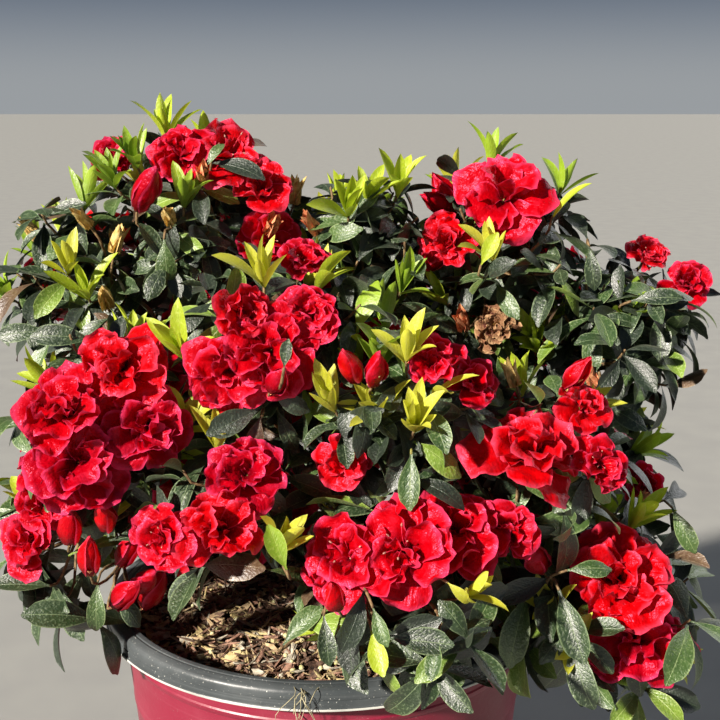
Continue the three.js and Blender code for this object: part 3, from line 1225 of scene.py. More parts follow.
@dataclass
class Mix:
    """The shredded bark mix: its uneven top, chips and slivers, prills and dry grass."""

    pot: Pot
    surface: float = 221.0
    mound: float = 4.0
    rings: int = 34
    steps: int = 96
    chips: int = 3400
    prills: int = 190
    wisps: int = 9
    seed: int = 11
    # Each chip's length, width and thickness, how far it is roughened, and its share
    shapes: tuple[tuple[float, ...], ...] = (
        (14.0, 5.5, 1.6, 0.8, 0.14), (22.0, 1.9, 1.1, 0.5, 0.22), (7.0, 4.5, 2.8, 0.9, 0.14),
        (13.0, 2.6, 1.2, 0.6, 0.25), (28.0, 1.3, 0.8, 0.4, 0.17), (17.0, 8.5, 1.0, 1.3, 0.08),
    )
    tones: tuple[float, ...] = (0.22, 0.26, 0.22, 0.16, 0.14)  # the share of each chip's skin

    def build(self, lens: Lens) -> None:
        """Builds the mix and what lies on it.

        Args:
            lens: The camera, which sees where the dry grass lies.
        """
        self.top = BVHTree.FromObject(self._build_bed(), bpy.context.evaluated_depsgraph_get())
        self.draw = np.random.default_rng(self.seed)
        self._build_chips()
        self._build_prills()
        self._build_wisps(lens)

    def _build_bed(self) -> Piece:
        """Turns the bed, and raises its top into lumps and hollows.

        Returns:
            The bed.
        """
        clear = self.pot.wall + 0.5
        wide = self.pot.radius(self.surface) - clear
        low = self.pot.floor + 0.5
        shoulder = self.pot.heel + self.pot.floor + 0.5
        profile = [
            (0.0, low),
            (self.pot.base_radius - self.pot.heel - clear, low),
            (self.pot.radius(shoulder) - clear, shoulder),
            (wide - 0.4, self.surface - 4),
        ]
        for ring in range(self.rings + 1):
            out = wide * (1 - ring / self.rings)
            rise = self.mound * math.cos(math.pi / 2 * min(1.0, out / wide)) ** 1.5
            profile.append((out, self.surface + rise))
        bed = spun("mix_bed", profile, self.steps)
        group = bed.vertex_groups.new(name="top")
        for vert in bed.data.vertices:
            out = math.hypot(vert.co.x, vert.co.y) / MM
            if vert.co.z > (self.surface - 2) * MM and out < wide - 1:
                group.add([vert.index], min(1.0, (wide - out) / 6), "REPLACE")
        for size, height in ((22.0, 7.0), (7.0, 5.0)):
            roughen(
                bed, size, height, 2, texture_coords="LOCAL", vertex_group="top", direction="Z"
            )
        bed.data.materials.append(MIX_SKIN.dress())
        bed.data.shade_smooth()
        hand_in(bed, "bark_mix", "potting_mix")
        return bed

    def _chip(self, size: Sequence[float], rough: float, seed: int) -> Template:
        """Shapes a chip from a block by subdividing, roughening and bowing it.

        Args:
            size: Its length, width and thickness in millimetres.
            rough: How far its vertices stray, in millimetres.
            seed: The seed of that.

        Returns:
            The chip as a template.
        """
        alone()
        bpy.ops.mesh.primitive_cube_add(size=1 * MM)
        chip = bpy.context.object
        edit(chip)
        bpy.ops.mesh.subdivide(number_cuts=1)
        bpy.ops.transform.resize(value=size)
        half = size[0] * MM / 2
        choose(chip, lambda vert: abs(vert.co.x) > half * 0.9)
        bpy.ops.transform.resize(value=(1.0, 0.45, 0.6))
        bpy.ops.transform.translate(value=(0.0, 0.0, 0.09 * half))
        bpy.ops.mesh.select_all(action="SELECT")
        bpy.ops.transform.vertex_random(offset=rough * MM, uniform=0.6, seed=seed)
        return Template.taken(chip)

    def _drops(self, count: int) -> Iterator[tuple[Vector, Vector]]:
        """Drops things over the bed by chance.

        Args:
            count: How many.

        Yields:
            The place of each that lands, and the way the bed faces there.
        """
        for _ in range(count):
            out = (self.pot.top_radius - 8) * math.sqrt(self.draw.uniform(0.006, 1.0))
            turn = self.draw.uniform(0, math.tau)
            above = Vector((out * math.cos(turn), out * math.sin(turn), 300.0)) * MM
            hit, face, _, _ = self.top.ray_cast(above, -UP)
            if hit is not None:
                yield hit, face

    def _build_chips(self) -> None:
        """Scatters chips, slivers and crumbs over the bed, half sunk in it."""
        draw = self.draw
        shapes = [self._chip(row[:3], row[3], seed + 1) for seed, row in enumerate(self.shapes)]
        shares = [row[4] for row in self.shapes]
        heap = Heap("mix_chips", [skin.dress() for skin in CHIP_SKINS], mapped=False)
        for hit, face in self._drops(self.chips):
            turn, lean = draw.uniform(0, math.tau), draw.normal(0, 0.36)
            along = Vector((math.cos(turn), math.sin(turn), math.sin(lean)))
            look = (face + Vector(draw.normal(0, 0.35, 3))).normalized()
            at = hit + UP * draw.uniform(-0.4, 2.6) * MM
            shape = shapes[draw.choice(len(shapes), p=shares)]
            skin = int(draw.choice(len(self.tones), p=self.tones))
            heap.add(shape, placed(at, along, look, draw.uniform(0.42, 0.92)), skin)
        piece = heap.built()
        piece.data.shade_flat()
        hand_in(piece, "bark_mix")

    def _build_prills(self) -> None:
        """Scatters the round prills of slow feed over the bed."""
        alone()
        bpy.ops.mesh.primitive_uv_sphere_add(segments=8, ring_count=5, radius=1.8 * MM)
        ball = bpy.context.object
        edit(ball)
        bpy.ops.transform.vertex_random(offset=0.22 * MM, uniform=0.6, seed=7)
        prill = Template.taken(ball)
        heap = Heap("mix_prills", [PRILL_SKIN.dress()], mapped=False)
        for hit, _ in self._drops(self.prills):
            at = hit + UP * 1.3 * MM
            heap.add(prill, placed(at, Vector((1, 0, 0)), UP, self.draw.uniform(0.7, 1.15)))
        hand_in(heap.built(), "bark_mix")

    def _build_wisps(self, lens: Lens) -> None:
        """Lays a few dry grass stalks over the rim at the front.

        Args:
            lens: The camera, which sees where they lie.
        """
        draw = self.draw
        way = lens.ray(WISP_SPOT)
        rim_top = lens.eye + way * ((self.pot.height * MM - lens.eye.z) / way.z)
        out = Vector((rim_top.x, rim_top.y, 0.0)).normalized()
        side = UP.cross(out)
        heap = Heap("dry_grass", [STRAW_SKIN.dress()])
        for _ in range(self.wisps):
            crest = rim_top + side * draw.normal(0, 3.5) * MM
            spread = Vector((crest.x, crest.y, 0.0)).normalized()
            crest = spread * (self.pot.rim_radius + 1.2) * MM
            crest.z = (self.pot.height - draw.uniform(0, 2)) * MM
            inner = crest - out * draw.uniform(12, 26) * MM + side * draw.normal(0, 13) * MM
            inner.z = (self.surface + 5) * MM
            end = crest + out * draw.uniform(1.0, 4) * MM
            end += side * draw.normal(0, 6) * MM - UP * draw.uniform(7, 24) * MM
            away = (out + side * draw.normal(0, 0.6)).normalized()
            line = curve(inner, (UP + out * 0.4).normalized(), crest, away, 4)
            line += curve(crest, away, end, (side * draw.normal(0, 0.6) - UP).normalized(), 5)[1:]
            heap.add(tube(line, (0.34, 0.16), 4))
        hand_in(heap.built(), "bark_mix")


@dataclass
class Wood:
    """The stem, boughs and limbs: the frame's limbs run together and given bark."""

    voxel: float = 1.1
    relief: float = 1.1

    def build(self, nodes: dict[str, Piece]) -> None:
        """Builds the piece that stands for the stem, the boughs and the limbs.

        Args:
            nodes: The frame's nodes by name.
        """
        names = sorted(n for n in nodes if n == "stem" or n.startswith(("bough_", "limb_")))
        copies = []
        for name in names:
            copies.append(bpy.data.objects.new("wood_part", nodes[name].data.copy()))
            bpy.context.scene.collection.objects.link(copies[-1])
        alone()
        for copy in copies:
            copy.select_set(True)
        bpy.context.view_layer.objects.active = copies[0]
        bpy.ops.object.join()
        wood = bpy.context.object
        wood.name = "stem_and_boughs"
        edit(wood)
        bpy.ops.mesh.remove_doubles(threshold=0.01 * MM)
        bpy.ops.object.mode_set(mode="OBJECT")
        apply_modifier(wood, "REMESH", mode="VOXEL", voxel_size=self.voxel * MM)
        apply_modifier(wood, "SMOOTH", factor=0.5, iterations=5)
        for size, share in ((6.0, 0.8), (2.2, 0.5)):
            roughen(wood, size, self.relief * share, 2, texture_coords="LOCAL")
        wood.data.materials.clear()
        wood.data.materials.append(BARK_SKIN.dress())
        wood.data.shade_smooth()
        hand_in(wood, "bark", *names)


class ShootKind(Enum):
    """What stands at the tip of a twig."""

    WHORL = "whorl of mature leaves"
    TUFT = "tuft of young leaves"
    BUDS = "cluster of buds"
    SCALES = "closed bud in papery scales"
    BLOOM = "double flower"
    SPENT = "withered flower"
    LEAF = "one leaf that stands out"


# How a shoot stands where the photo shows it: how much of the surface's facing, of the way
# to the camera and of upward its axis has, its stray, and how far its tip is set back
# along the axis and out towards the camera, in millimetres
POISES = {
    ShootKind.WHORL: (0.45, 0.28, 0.70, 0.10, 0, 6),
    ShootKind.TUFT: (0.40, 0.30, 0.80, 0.12, 9, 0),
}
BUD_POISE = (0.45, 0.12, 0.75, 0.25, 11, 5)


@dataclass
class Mass:
    """A mass of foliage of the frame, as the surface that its shoots grow out to."""

    name: str
    points: np.ndarray
    triangles: np.ndarray
    middle: Vector
    seat: Vector

    @property
    def hub(self) -> Vector:
        """Where the limb divides inside the mass."""
        return self.seat.lerp(self.middle, 0.45)


@dataclass
class Shoot:
    """The tip of a twig: where it is, the way it looks, and what grows there."""

    tip: Vector
    axis: Vector
    kind: ShootKind
    mass: Mass
    across: float = 30.0
    opening: float = 1.0
    shown: bool = False  # whether the photograph shows it at a place of its own
    sight: LeafSight | None = None

    @property
    def region(self) -> str:
        """The region of the crown that it belongs to."""
        return REGION_OF[self.mass.name]

    @property
    def side(self) -> str:
        """Whether it is at the front or the back."""
        return "front" if self.region in FRONT_REGIONS else "back"


@dataclass
class Foliage:
    """The leaves, young leaves, scales and calyx lobes, and the heaps that they go on.

    A row gives a blade's length, width, cup, arch, the share of that near the tip, and twist.
    """

    mature_rows: tuple[tuple[float, ...], ...] = (
        (37, 13.4, 0.28, 44, 0.3, 8), (34, 12.8, 0.48, 30, 0.5, -16),
        (39, 13.2, 0.20, 68, 0.5, 18), (32, 13.2, 0.38, 8, 0.0, -8),
        (35, 14.4, -0.18, 56, 0.1, 14),
    )
    young_rows: tuple[tuple[float, ...], ...] = (
        (30, 7.6, 0.5, 10, 0.6, 10), (26, 6.8, 0.7, -16, 0.4, -14), (32, 8.8, 0.4, 30, 0.7, 18),
    )
    scale_row: tuple[float, ...] = (13, 6.5, 0.7, -14, 0.4)

    def make(self) -> None:
        """Shapes the blades and dresses the heaps."""
        self.mature = shaped(1, self.mature_rows, rows=10, round_end=0.09, cup_power=1.5)
        self.young = shaped(6, self.young_rows, outline=young_outline, cup_power=1.6)
        self.scale = shaped(9, (self.scale_row,), outline=scale_outline, rows=5)[0]
        dark = [skin.dress() for skin in MATURE_SKINS]
        bright = [skin.dress() for skin in YOUNG_SKINS]
        self.leaves = {region: Heap(f"leaves_{region}", dark) for region in REGIONS}
        self.shoots = {side: Heap(f"young_leaves_{side}", bright) for side in ("front", "back")}
        self.scales = Heap("bud_scales", [skin.dress() for skin in SCALE_SKINS])


@dataclass(frozen=True)
class Seat:
    """Where a flower or bud sits: its side of the crown, its base, its axis and its skin."""

    side: str
    base: Vector
    axis: Vector
    skin: int


@dataclass
class Bloom:
    """Double flowers and buds, and the heaps that their petals and stamens go on.

    A row gives a petal's length, width, cup, arch, the share of that near the tip, twist,
    ruffle, the ruffle's scale, and how far the corners of its end are drawn back.
    """

    draw: Chance
    across: float = 62.0  # of the flower that the petals are made for
    outer_rows: tuple[tuple[float, ...], ...] = (
        (35, 33, 0.14, 46, 0.3, 0, 19, 12, 0.14), (33, 32, 0.30, 26, 0.6, 0, 22, 10, 0.18),
        (36, 30, 0.08, 62, 0.5, 0, 20, 11, 0.16), (34, 35, 0.22, 34, 0.1, 0, 24, 9, 0.12),
    )
    middle_rows: tuple[tuple[float, ...], ...] = (
        (29, 27, 0.34, 42, 0.5, 0, 22, 9, 0.16), (28, 28, 0.20, 24, 0.4, 0, 24, 8, 0.14),
        (31, 25, 0.40, 56, 0.7, 0, 21, 9.5, 0.18),
    )
    inner_rows: tuple[tuple[float, ...], ...] = (
        (20, 16, 0.5, 26, 0.5, 0, 17, 6, 0.14), (19, 14, 0.7, -18, 0.5, 30, 15, 5.5, 0.14),
        (22, 15, 0.3, 48, 0.8, -26, 17, 6.5, 0.14),
    )
    wraps: tuple[tuple[float, float], ...] = ((5.5, 240), (6.2, 215), (6.9, 180))
    wrap_length: float = 27.0
    bud_length: float = 24.0  # of the bud that the wraps are made for
    core_size: tuple[float, float] = (4.2, 11.5)  # half its width and half its length

    def make(self) -> None:
        """Shapes the petals, stamens and buds, and dresses the heaps."""
        broad = dict(outline=petal_outline, columns=8, cup_power=2.0)
        small = dict(outline=petal_outline, columns=6, cup_power=1.6)
        self.outer = shaped(20, self.outer_rows, rows=10, **broad)
        self.middle = shaped(24, self.middle_rows, rows=9, **broad)
        self.inner = shaped(27, self.inner_rows, rows=7, **small)
        self.wrapped = [self._wrap(*row, 30 + order) for order, row in enumerate(self.wraps)]
        self.core = self._core()
        end, leaving, arriving = Vector((22.0, 0.0, 4.5)) * MM, (1, 0, -0.1), (0.8, 0, 0.6)
        line = curve(Vector(), Vector(leaving), end, Vector(arriving).normalized(), 5)
        self.filament = tube(line, (0.42, 0.26), 4)
        tip = [end, end + Vector((0.8, 0, 0.8)) * MM, end + Vector((1.6, 0, 1.4)) * MM]
        self.anther = tube(tip, (0.4, 0.7, 0.4), 4)
        reds = [skin.dress() for skin in PETAL_SKINS]
        self.petals = {side: Heap(f"petals_{side}", reds) for side in ("front", "back")}
        self.stamens = Heap("stamens", [skin.dress() for skin in STAMEN_SKINS])

    def _wrap(self, radius: float, sweep: float, order: int) -> Template:
        """Shapes a petal that is rolled round a bud's axis, which lies along +X.

        Args:
            radius: The roll's radius in millimetres.
            sweep: How far round the axis it goes, in degrees.
            order: A number of its own, which picks its crumples.

        Returns:
            The petal as a template.
        """
        rows, columns, widest = 9, 8, 0.40
        wrap = new_grid(rows, columns, radius * MM)
        resize(self.wrap_length * MM, 0.0, 1.0)
        for row in range(rows + 1):
            along = row / rows
            belly = 0.40 + 0.60 * math.sin(math.pi / 2 * min(1.0, along / widest))
            belly *= math.cos(math.pi / 2 * max(0.0, along - widest) / 0.62) ** 0.85
            reach = math.sin(math.pi * min(0.94, 0.22 + 0.72 * along)) ** 0.7
            for column in range(columns + 1):
                side = 2 * column / columns - 1
                index = column * (rows + 1) + row
                choose(wrap, lambda vert: vert.index == index)
                resize(1.0, 1.0, belly * (1.04 + 0.12 * side))
                turn_about("X", side * reach * sweep / 2)
        bpy.ops.object.mode_set(mode="OBJECT")
        crumple(wrap, order, 6.0, 2.2)
        return Template.taken(wrap)

    def _core(self) -> Template:
        """Shapes the closed heart of a bud: a ball drawn out to a blunt point along +X.

        Returns:
            The heart as a template.
        """
        alone()
        bpy.ops.mesh.primitive_uv_sphere_add(segments=10, ring_count=8, radius=1 * MM)
        core = bpy.context.object
        edit(core)
        wide, tall = self.core_size
        bpy.ops.transform.resize(value=(wide, wide, tall))
        for ring in range(1, 5):
            low = tall * MM * math.sin(math.radians(22.5 * ring)) * 0.98
            choose(core, lambda vert: vert.co.z >= low)
            resize(0.84, 0.84, 1.0)
        bpy.ops.mesh.select_all(action="SELECT")
        bpy.ops.transform.translate(value=(0.0, 0.0, tall * MM))
        made = Template.taken(core)
        return Template(made.points[:, [2, 0, 1]], made.corners, made.sizes, made.spread)

    def ring(
        self, seat: Seat, blades: list[Template], count: int, pitch: float, scale: float,
        stray: float,
    ) -> None:
        """Sets a ring of petals round a flower's axis.

        Args:
            seat: Where the flower sits.
            blades: The templates to pick from.
            count: How many petals the ring has.
            pitch: How far their bases lean from the axis, in degrees.
            scale: Their size against their templates'.
            stray: How far their angles stray, in degrees.
        """
        draw = self.draw
        turn = draw.uniform(0, math.tau)
        for petal in range(count):
            here = turn + math.tau * petal / count + math.radians(draw.normal(0, stray))
            lean = math.radians(pitch + draw.normal(0, stray))
            along, face = fanned(seat.axis, here, lean)
            face = Quaternion(along, math.radians(draw.normal(0, 1.6 * stray))) @ face
            blade = blades[draw.integers(len(blades))]
            start = seat.base + along * 1.5 * MM * scale
            place = placed(start, along, face, scale * draw.uniform(0.88, 1.10))
            self.petals[seat.side].add(blade, place, seat.skin)

    def flower(self, seat: Seat, across: float, opening: float) -> None:
        """Sets one double flower.

        Args:
            seat: Where it sits.
            across: Its width when open, in millimetres.
            opening: How open it is, from 0 to 1.
        """
        draw, scale = self.draw, across / self.across
        loose = draw.uniform(-6, 10)
        full = draw.uniform(0.15, 1.0)
        # The last two petals stand up and fold over, so that no two flowers look alike
        for blades, count, pitch, spread, size, stray in (
            (self.outer, 6, 14, 46 + loose, scale, 12),
            (self.middle, round(2 + 3 * full), 8, 32 + loose, scale, 14),
            (self.inner, round(1 + 5 * full), 6, 26, scale, 16),
            (self.middle, 2, 6, 24, scale * 0.95, 24),
        ):
            self.ring(seat, blades, count, pitch + spread * opening, size, stray)
        for stamen in range(5 if draw.uniform() < 0.25 else 0):
            turn = math.tau * stamen / 5 + draw.uniform(-0.4, 0.4)
            along, face = fanned(seat.axis, turn, math.radians(draw.uniform(5, 16)))
            place = placed(seat.base, along, -face, scale * draw.uniform(0.85, 1.1))
            self.stamens.add(self.filament, place, 0)
            self.stamens.add(self.anther, place, 1)

    def bud(self, seat: Seat, length: float) -> None:
        """Sets one closed bud of wrapped petals.

        Args:
            seat: Where it sits.
            length: Its length in millimetres.
        """
        draw, heap, scale = self.draw, self.petals[seat.side], length / self.bud_length
        core = placed(seat.base, seat.axis, seat.axis.orthogonal(), scale * 0.95)
        heap.add(self.core, core, seat.skin)
        turn = draw.uniform(0, math.tau)
        for petal, blade in enumerate(self.wrapped):
            lean = math.radians(1.5 + petal + draw.normal(0, 1))
            along, face = fanned(seat.axis, turn + math.tau * petal / 3, lean)
            place = placed(seat.base, along, face, scale * draw.uniform(0.95, 1.03))
            heap.add(blade, place, seat.skin)


@dataclass
class Crown:
    """The crown: shoots over the frame's masses, the twigs that bear them, and their growth."""

    lens: Lens
    pot: Pot
    sunward: Vector
    spacing: float = 20.0  # between the tips of shoots
    under_spacing: float = 27.0  # on undersides, where less light falls
    shown_spacing: float = 17.0  # round shoots that the photograph shows
    tries: int = 16  # for each place that a shoot could have
    pulled_in: float = 13.0  # how far tips stay under the masses' surface
    gap: float = 34.0  # between masses, too narrow for a shoot to stand in
    bloom_gap: float = 47.0  # between the middles of flowers that chance sets
    leaf_checks: tuple[float, float] = (17.0, 34.0)  # how far along a leaf it is tested
    leaf_length: float = 36.0  # of the blades that a leaf that stands out is made from
    sight_depth: float = 120.0  # how far before what the photo shows nothing else stands
    waist: float = 340.0  # the height under which leaves are larger
    leaf_size: tuple[float, float] = (1.06, 0.86)  # under and over it
    seed: int = 5
    masses: list[Mass] = field(default_factory=list)
    shoots: list[Shoot] = field(default_factory=list)
    petals_at: list[tuple[Vector, float]] = field(default_factory=list)
    sights: list[tuple[float, float, float, float]] = field(default_factory=list)

    def build(self, nodes: dict[str, Piece]) -> None:
        """Grows the whole crown, and puts it in place of the frame's masses.

        Args:
            nodes: The frame's nodes by name.
        """
        self.draw = np.random.default_rng(self.seed)
        self.foliage = Foliage()
        self.foliage.make()
        self.bloom = Bloom(self.draw)
        self.bloom.make()
        self.twigs = Heap("twigs", [skin.dress() for skin in TWIG_SKINS])
        self._read_masses(nodes)
        low, high = map(Vector, CAD_BOX)
        room = (high - low) * SIDE_SHARE + Vector((SIDE_EXTRA,) * 3) - Vector((SIDE_SPARE,) * 3)
        self.low, self.high = low - room, high + room
        self._place_shown()
        self._fill()
        self._fork_twigs()
        # The leaves that stand out come last, so that they can be set clear of the petals
        for shoot in (s for s in self.shoots if s.kind is not ShootKind.LEAF):
            self._grow(shoot)
        self.bloom_skin = self._read_petals()
        for shoot in (s for s in self.shoots if s.kind is ShootKind.LEAF):
            self._grow_sight(shoot)
        for heap in (*self.foliage.leaves.values(), *self.foliage.shoots.values()):
            heap.copies = [copy for copy in heap.copies if not self._cuts(copy[0], copy[1])]
        self._hand_in()

    def _read_masses(self, nodes: dict[str, Piece]) -> None:
        """Reads the frame's masses and where their limbs enter them.

        Args:
            nodes: The frame's nodes by name.
        """
        corners, faces, self.owner = [], [], []
        for order, name in enumerate(sorted(REGION_OF)):
            mesh = nodes[f"mass_{name}"].data
            mesh.calc_loop_triangles()
            points = np.array([vert.co[:] for vert in mesh.vertices])
            triangles = np.array([face.vertices[:] for face in mesh.loop_triangles])
            surface = BVHTree.FromPolygons(points.tolist(), triangles.tolist())
            carrier = nodes.get(f"limb_{name}") or nodes[f"bough_{BOUGH_OF[name]}"]
            middle = Vector((points.min(0) + points.max(0)) / 2)
            faces += (triangles + len(corners)).tolist()
            corners += points.tolist()
            self.owner += [order] * len(triangles)
            seat = self._seat(carrier, surface)
            self.masses.append(Mass(name, points, triangles, middle, seat))
        self.outside = BVHTree.FromPolygons(corners, faces)

    @staticmethod
    def _seat(carrier: Piece, surface: BVHTree) -> Vector:
        """Finds the middle of the end of a limb that enters a mass.

        Args:
            carrier: The limb or bough.
            surface: The mass's surface.

        Returns:
            The middle.
        """
        near = [(surface.find_nearest(v.co)[3], v.co.copy()) for v in carrier.data.vertices]
        near.sort(key=lambda pair: pair[0])
        touching = [place for gap, place in near if gap < near[0][0] + 1.5 * MM]
        return sum(touching, Vector()) / len(touching)

    def _read_petals(self) -> BVHTree:
        """Reads the surface of all petals and buds.

        Returns:
            The surface.
        """
        points, faces, start = [], [], 0
        for heap in self.bloom.petals.values():
            for template, place, _ in heap.copies:
                points.append(template.moved(place))
                faces += [[start + corner for corner in face] for face in template.faces]
                start += len(template.points)
        return BVHTree.FromPolygons(np.concatenate(points).tolist(), faces)

    def _cuts(self, template: Template, place: np.ndarray) -> bool:
        """Whether a copy at a place cuts through a petal."""
        copy = BVHTree.FromPolygons(template.moved(place).tolist(), template.faces)
        return bool(self.bloom_skin.overlap(copy))

    def _inside(self, point: Vector) -> bool:
        """Whether a point lies in the box that foliage stays in."""
        sides = zip(self.low, point, self.high)
        return all(low + EDGE <= here <= high - EDGE for low, here, high in sides)

    def _hit(self, spot: Spot) -> tuple[Vector, Vector, Mass]:
        """Finds what a spot of the frame looks at.

        Args:
            spot: The spot.

        Returns:
            The point on the masses' surface, the way it faces, and its mass.
        """
        way = self.lens.ray(spot)
        hit, face, index, _ = self.outside.ray_cast(self.lens.eye, way)
        if hit is None:
            steps = (self.lens.eye + way * reach for reach in np.arange(0.45, 1.0, 0.004))
            found = min((self.outside.find_nearest(step) for step in steps), key=lambda f: f[3])
            hit, face, index, _ = found
        mass = self.masses[self.owner[index]]
        outward = (hit - mass.middle).normalized()
        return hit, (face * 0.6 + outward * 0.4).normalized(), mass

    def _keep_in_sight(self, place: Vector, radius: float) -> None:
        """Notes a place that the photo shows, with the radius in millimetres that stays free."""
        across, down, depth = self.lens.spot(place)
        self.sights.append((across, down, depth, radius * MM * self.lens.reach / depth))

    def _stands_before(self, point: Vector, share: float) -> bool:
        """Whether a point stands close before something that the photo shows.

        Args:
            point: The point.
            share: The share of each free radius that counts.

        Returns:
            True if it does.
        """
        across, down, depth = self.lens.spot(point)
        seen = np.array(self.sights)
        away = np.hypot(seen[:, 0] - across, seen[:, 1] - down)
        gap = seen[:, 2] - depth
        near = (gap > 0) & (gap < self.sight_depth * MM)
        return bool(((away < seen[:, 3] * share) & near).any())

    def _jittered(self, axis: Vector, amount: float) -> Vector:
        """An axis turned a little by chance."""
        return (axis.normalized() + Vector(self.draw.normal(0, amount, 3))).normalized()

    def _dealt(self, *shares: float) -> int:
        """The number of one of several skins, dealt out by their shares."""
        return int(self.draw.choice(len(shares), p=shares))

    def _place_shown(self) -> None:
        """Places the shoots that the photograph shows."""
        for spot in BLOOM_SPOTS:
            hit, face, mass = self._hit(spot)
            back = (self.lens.eye - hit).normalized()
            depth = self.lens.spot(hit)[2]
            across = min(68.0, max(32.0, 1.07 * spot.size * depth / self.lens.reach / MM))
            axis = self._jittered(face * 0.5 + back * 0.55 + UP * 0.25, 0.20)
            self._add_bloom(hit, axis, mass, across, spot.opening, True)
            self._keep_in_sight(hit, 0.17 * across)
        for kind, places in (
            (ShootKind.BUDS, BUD_SPOTS), (ShootKind.SCALES, SCALE_SPOTS),
            (ShootKind.TUFT, TUFT_SPOTS), (ShootKind.WHORL, WHORL_SPOTS),
            (ShootKind.SPENT, SPENT_SPOTS),
        ):
            for spot in places:
                self._place_at(spot, kind)
        for sight in LEAF_SIGHTS:
            self._place_sight(sight)

    def _place_at(self, spot: Spot, kind: ShootKind) -> None:
        """Places one shoot that isn't a flower at its spot.

        Args:
            spot: The spot.
            kind: What grows there.
        """
        hit, face, mass = self._hit(spot)
        back = (self.lens.eye - hit).normalized()
        hit = hit + back * spot.ahead * MM
        # Buds and withered flowers keep leaves off, as the petals of flowers do
        if kind not in POISES:
            self.petals_at.append((hit + back * 5 * MM, 16 * MM))
        if kind is not ShootKind.WHORL:
            self._keep_in_sight(hit, 14 if kind is ShootKind.SPENT else 11)
        outward, forward, upward, stray, inset, ahead = POISES.get(kind, BUD_POISE)
        axis = self._jittered(face * outward + back * forward + UP * upward, stray)
        tip = hit - axis * inset * MM + back * ahead * MM
        across = spot.size * self.lens.spot(hit)[2] / self.lens.reach / MM
        self.shoots.append(Shoot(tip, axis, kind, mass, across, shown=True))

    def _place_sight(self, sight: LeafSight) -> None:
        """Places a leaf that stands out, its middle clear of the bloom and its tip forward.

        Args:
            sight: The leaf as the photo shows it.
        """
        hit, _, mass = self._hit(Spot(sight.across, sight.down))
        back = (self.lens.eye - hit).normalized()
        turn = math.radians(sight.heading)
        sideways = back.cross(UP).normalized()
        rise = sideways.cross(back)
        along = (rise * math.cos(turn) - sideways * math.sin(turn) + back * 0.3).normalized()
        length = sight.length * self.lens.spot(hit)[2] / self.lens.reach
        middle = hit + back * sight.ahead * MM
        # Buds and single leaves have less room than 17 mm, so only flowers count
        blooms = [place for place in self.petals_at if place[1] > 17 * MM]
        for _ in range(9):
            if all((middle - heart).length > 0.95 * room for heart, room in blooms):
                break
            middle += back * 2 * MM
        self.petals_at.append((middle, 8 * MM))
        self._keep_in_sight(middle, 10)
        tip, size = middle - along * length / 2, length / MM
        self.shoots.append(Shoot(tip, along, ShootKind.LEAF, mass, size, 1.0, True, sight))

    def _add_bloom(
        self, middle: Vector, axis: Vector, mass: Mass, across: float, opening: float,
        shown: bool,
    ) -> None:
        """Adds a flower, moved in where it would pass the box that foliage stays in.

        Args:
            middle: Its middle.
            axis: The way it looks.
            mass: Its mass.
            across: Its width when open, in millimetres.
            opening: How open it is, from 0 to 1.
            shown: Whether the photograph shows it.
        """
        for side, share in enumerate((0.9, 0.9, 0.75)):
            room = (0.5 * across + 2) * MM * share
            middle[side] = min(max(middle[side], self.low[side] + room), self.high[side] - room)
        tip = middle - axis * (0.30 * across + 5) * MM
        self.shoots.append(Shoot(tip, axis, ShootKind.BLOOM, mass, across, opening, shown))
        self.petals_at.append((middle, 0.40 * across * MM))

    def _hides_mix(self, point: Vector, shades: bool = False) -> bool:
        """Whether a point stands before the part of the mix that the photo shows.

        Args:
            point: The point.
            shades: Whether one that stands in that part's sun counts too.

        Returns:
            True if it does.
        """
        if point.y > 0:
            return False
        first, last = MIX_WINDOW
        places = [point]
        if shades:
            drop = (point.z - self.pot.mix_top * MM) / self.sunward.z
            places.append(point - self.sunward * drop)
        return any(
            first.across < across < last.across and first.down < down < last.down
            for across, down, _ in map(self.lens.spot, places)
        )

    def _fill(self) -> None:
        """Sets shoots over the rest of the masses, evenly spaced by chance."""
        draw = self.draw
        taken_at = [np.array(shoot.tip) for shoot in self.shoots]
        apart = [
            (0.58 * s.across if s.kind is ShootKind.BLOOM else self.shown_spacing) * MM
            for s in self.shoots
        ]
        for mass in self.masses:
            corners = mass.points[mass.triangles]
            normals = np.cross(corners[:, 1] - corners[:, 0], corners[:, 2] - corners[:, 0])
            areas = np.linalg.norm(normals, axis=1)
            tries = int(areas.sum() / 2 / (self.spacing * MM) ** 2 * self.tries)
            for triangle in draw.choice(len(areas), tries, p=areas / areas.sum()):
                first, second = sorted(draw.uniform(0, 1, 2))
                shares = np.array((first, second - first, 1 - second))
                point = Vector(shares @ corners[triangle])
                face = Vector(normals[triangle]).normalized()
                face = (face * 0.6 + (point - mass.middle).normalized() * 0.4).normalized()
                before = self.outside.ray_cast(point + face * 3 * MM, face, self.gap * MM)
                under = face.z < -0.3
                if before[0] is not None or (under and draw.uniform() < 0.45):
                    continue
                tip = point - face * (self.pulled_in + draw.uniform(-5, 9)) * MM
                own = (self.under_spacing if under else self.spacing) * MM
                gaps = np.linalg.norm(np.array(taken_at) - np.array(tip), axis=1)
                if (gaps < np.maximum(apart, own * 0.62 + 0.38 * np.array(apart))).any():
                    continue
                if self.pot.blocks(tip, 8.0) or self._hides_mix(tip, shades=True):
                    continue
                self._add_by_chance(tip, point, face, mass)
                added = self.shoots[-1]
                taken_at.append(np.array(added.tip))
                bloomed = added.kind is ShootKind.BLOOM
                apart.append((0.5 * added.across * MM) if bloomed else own)

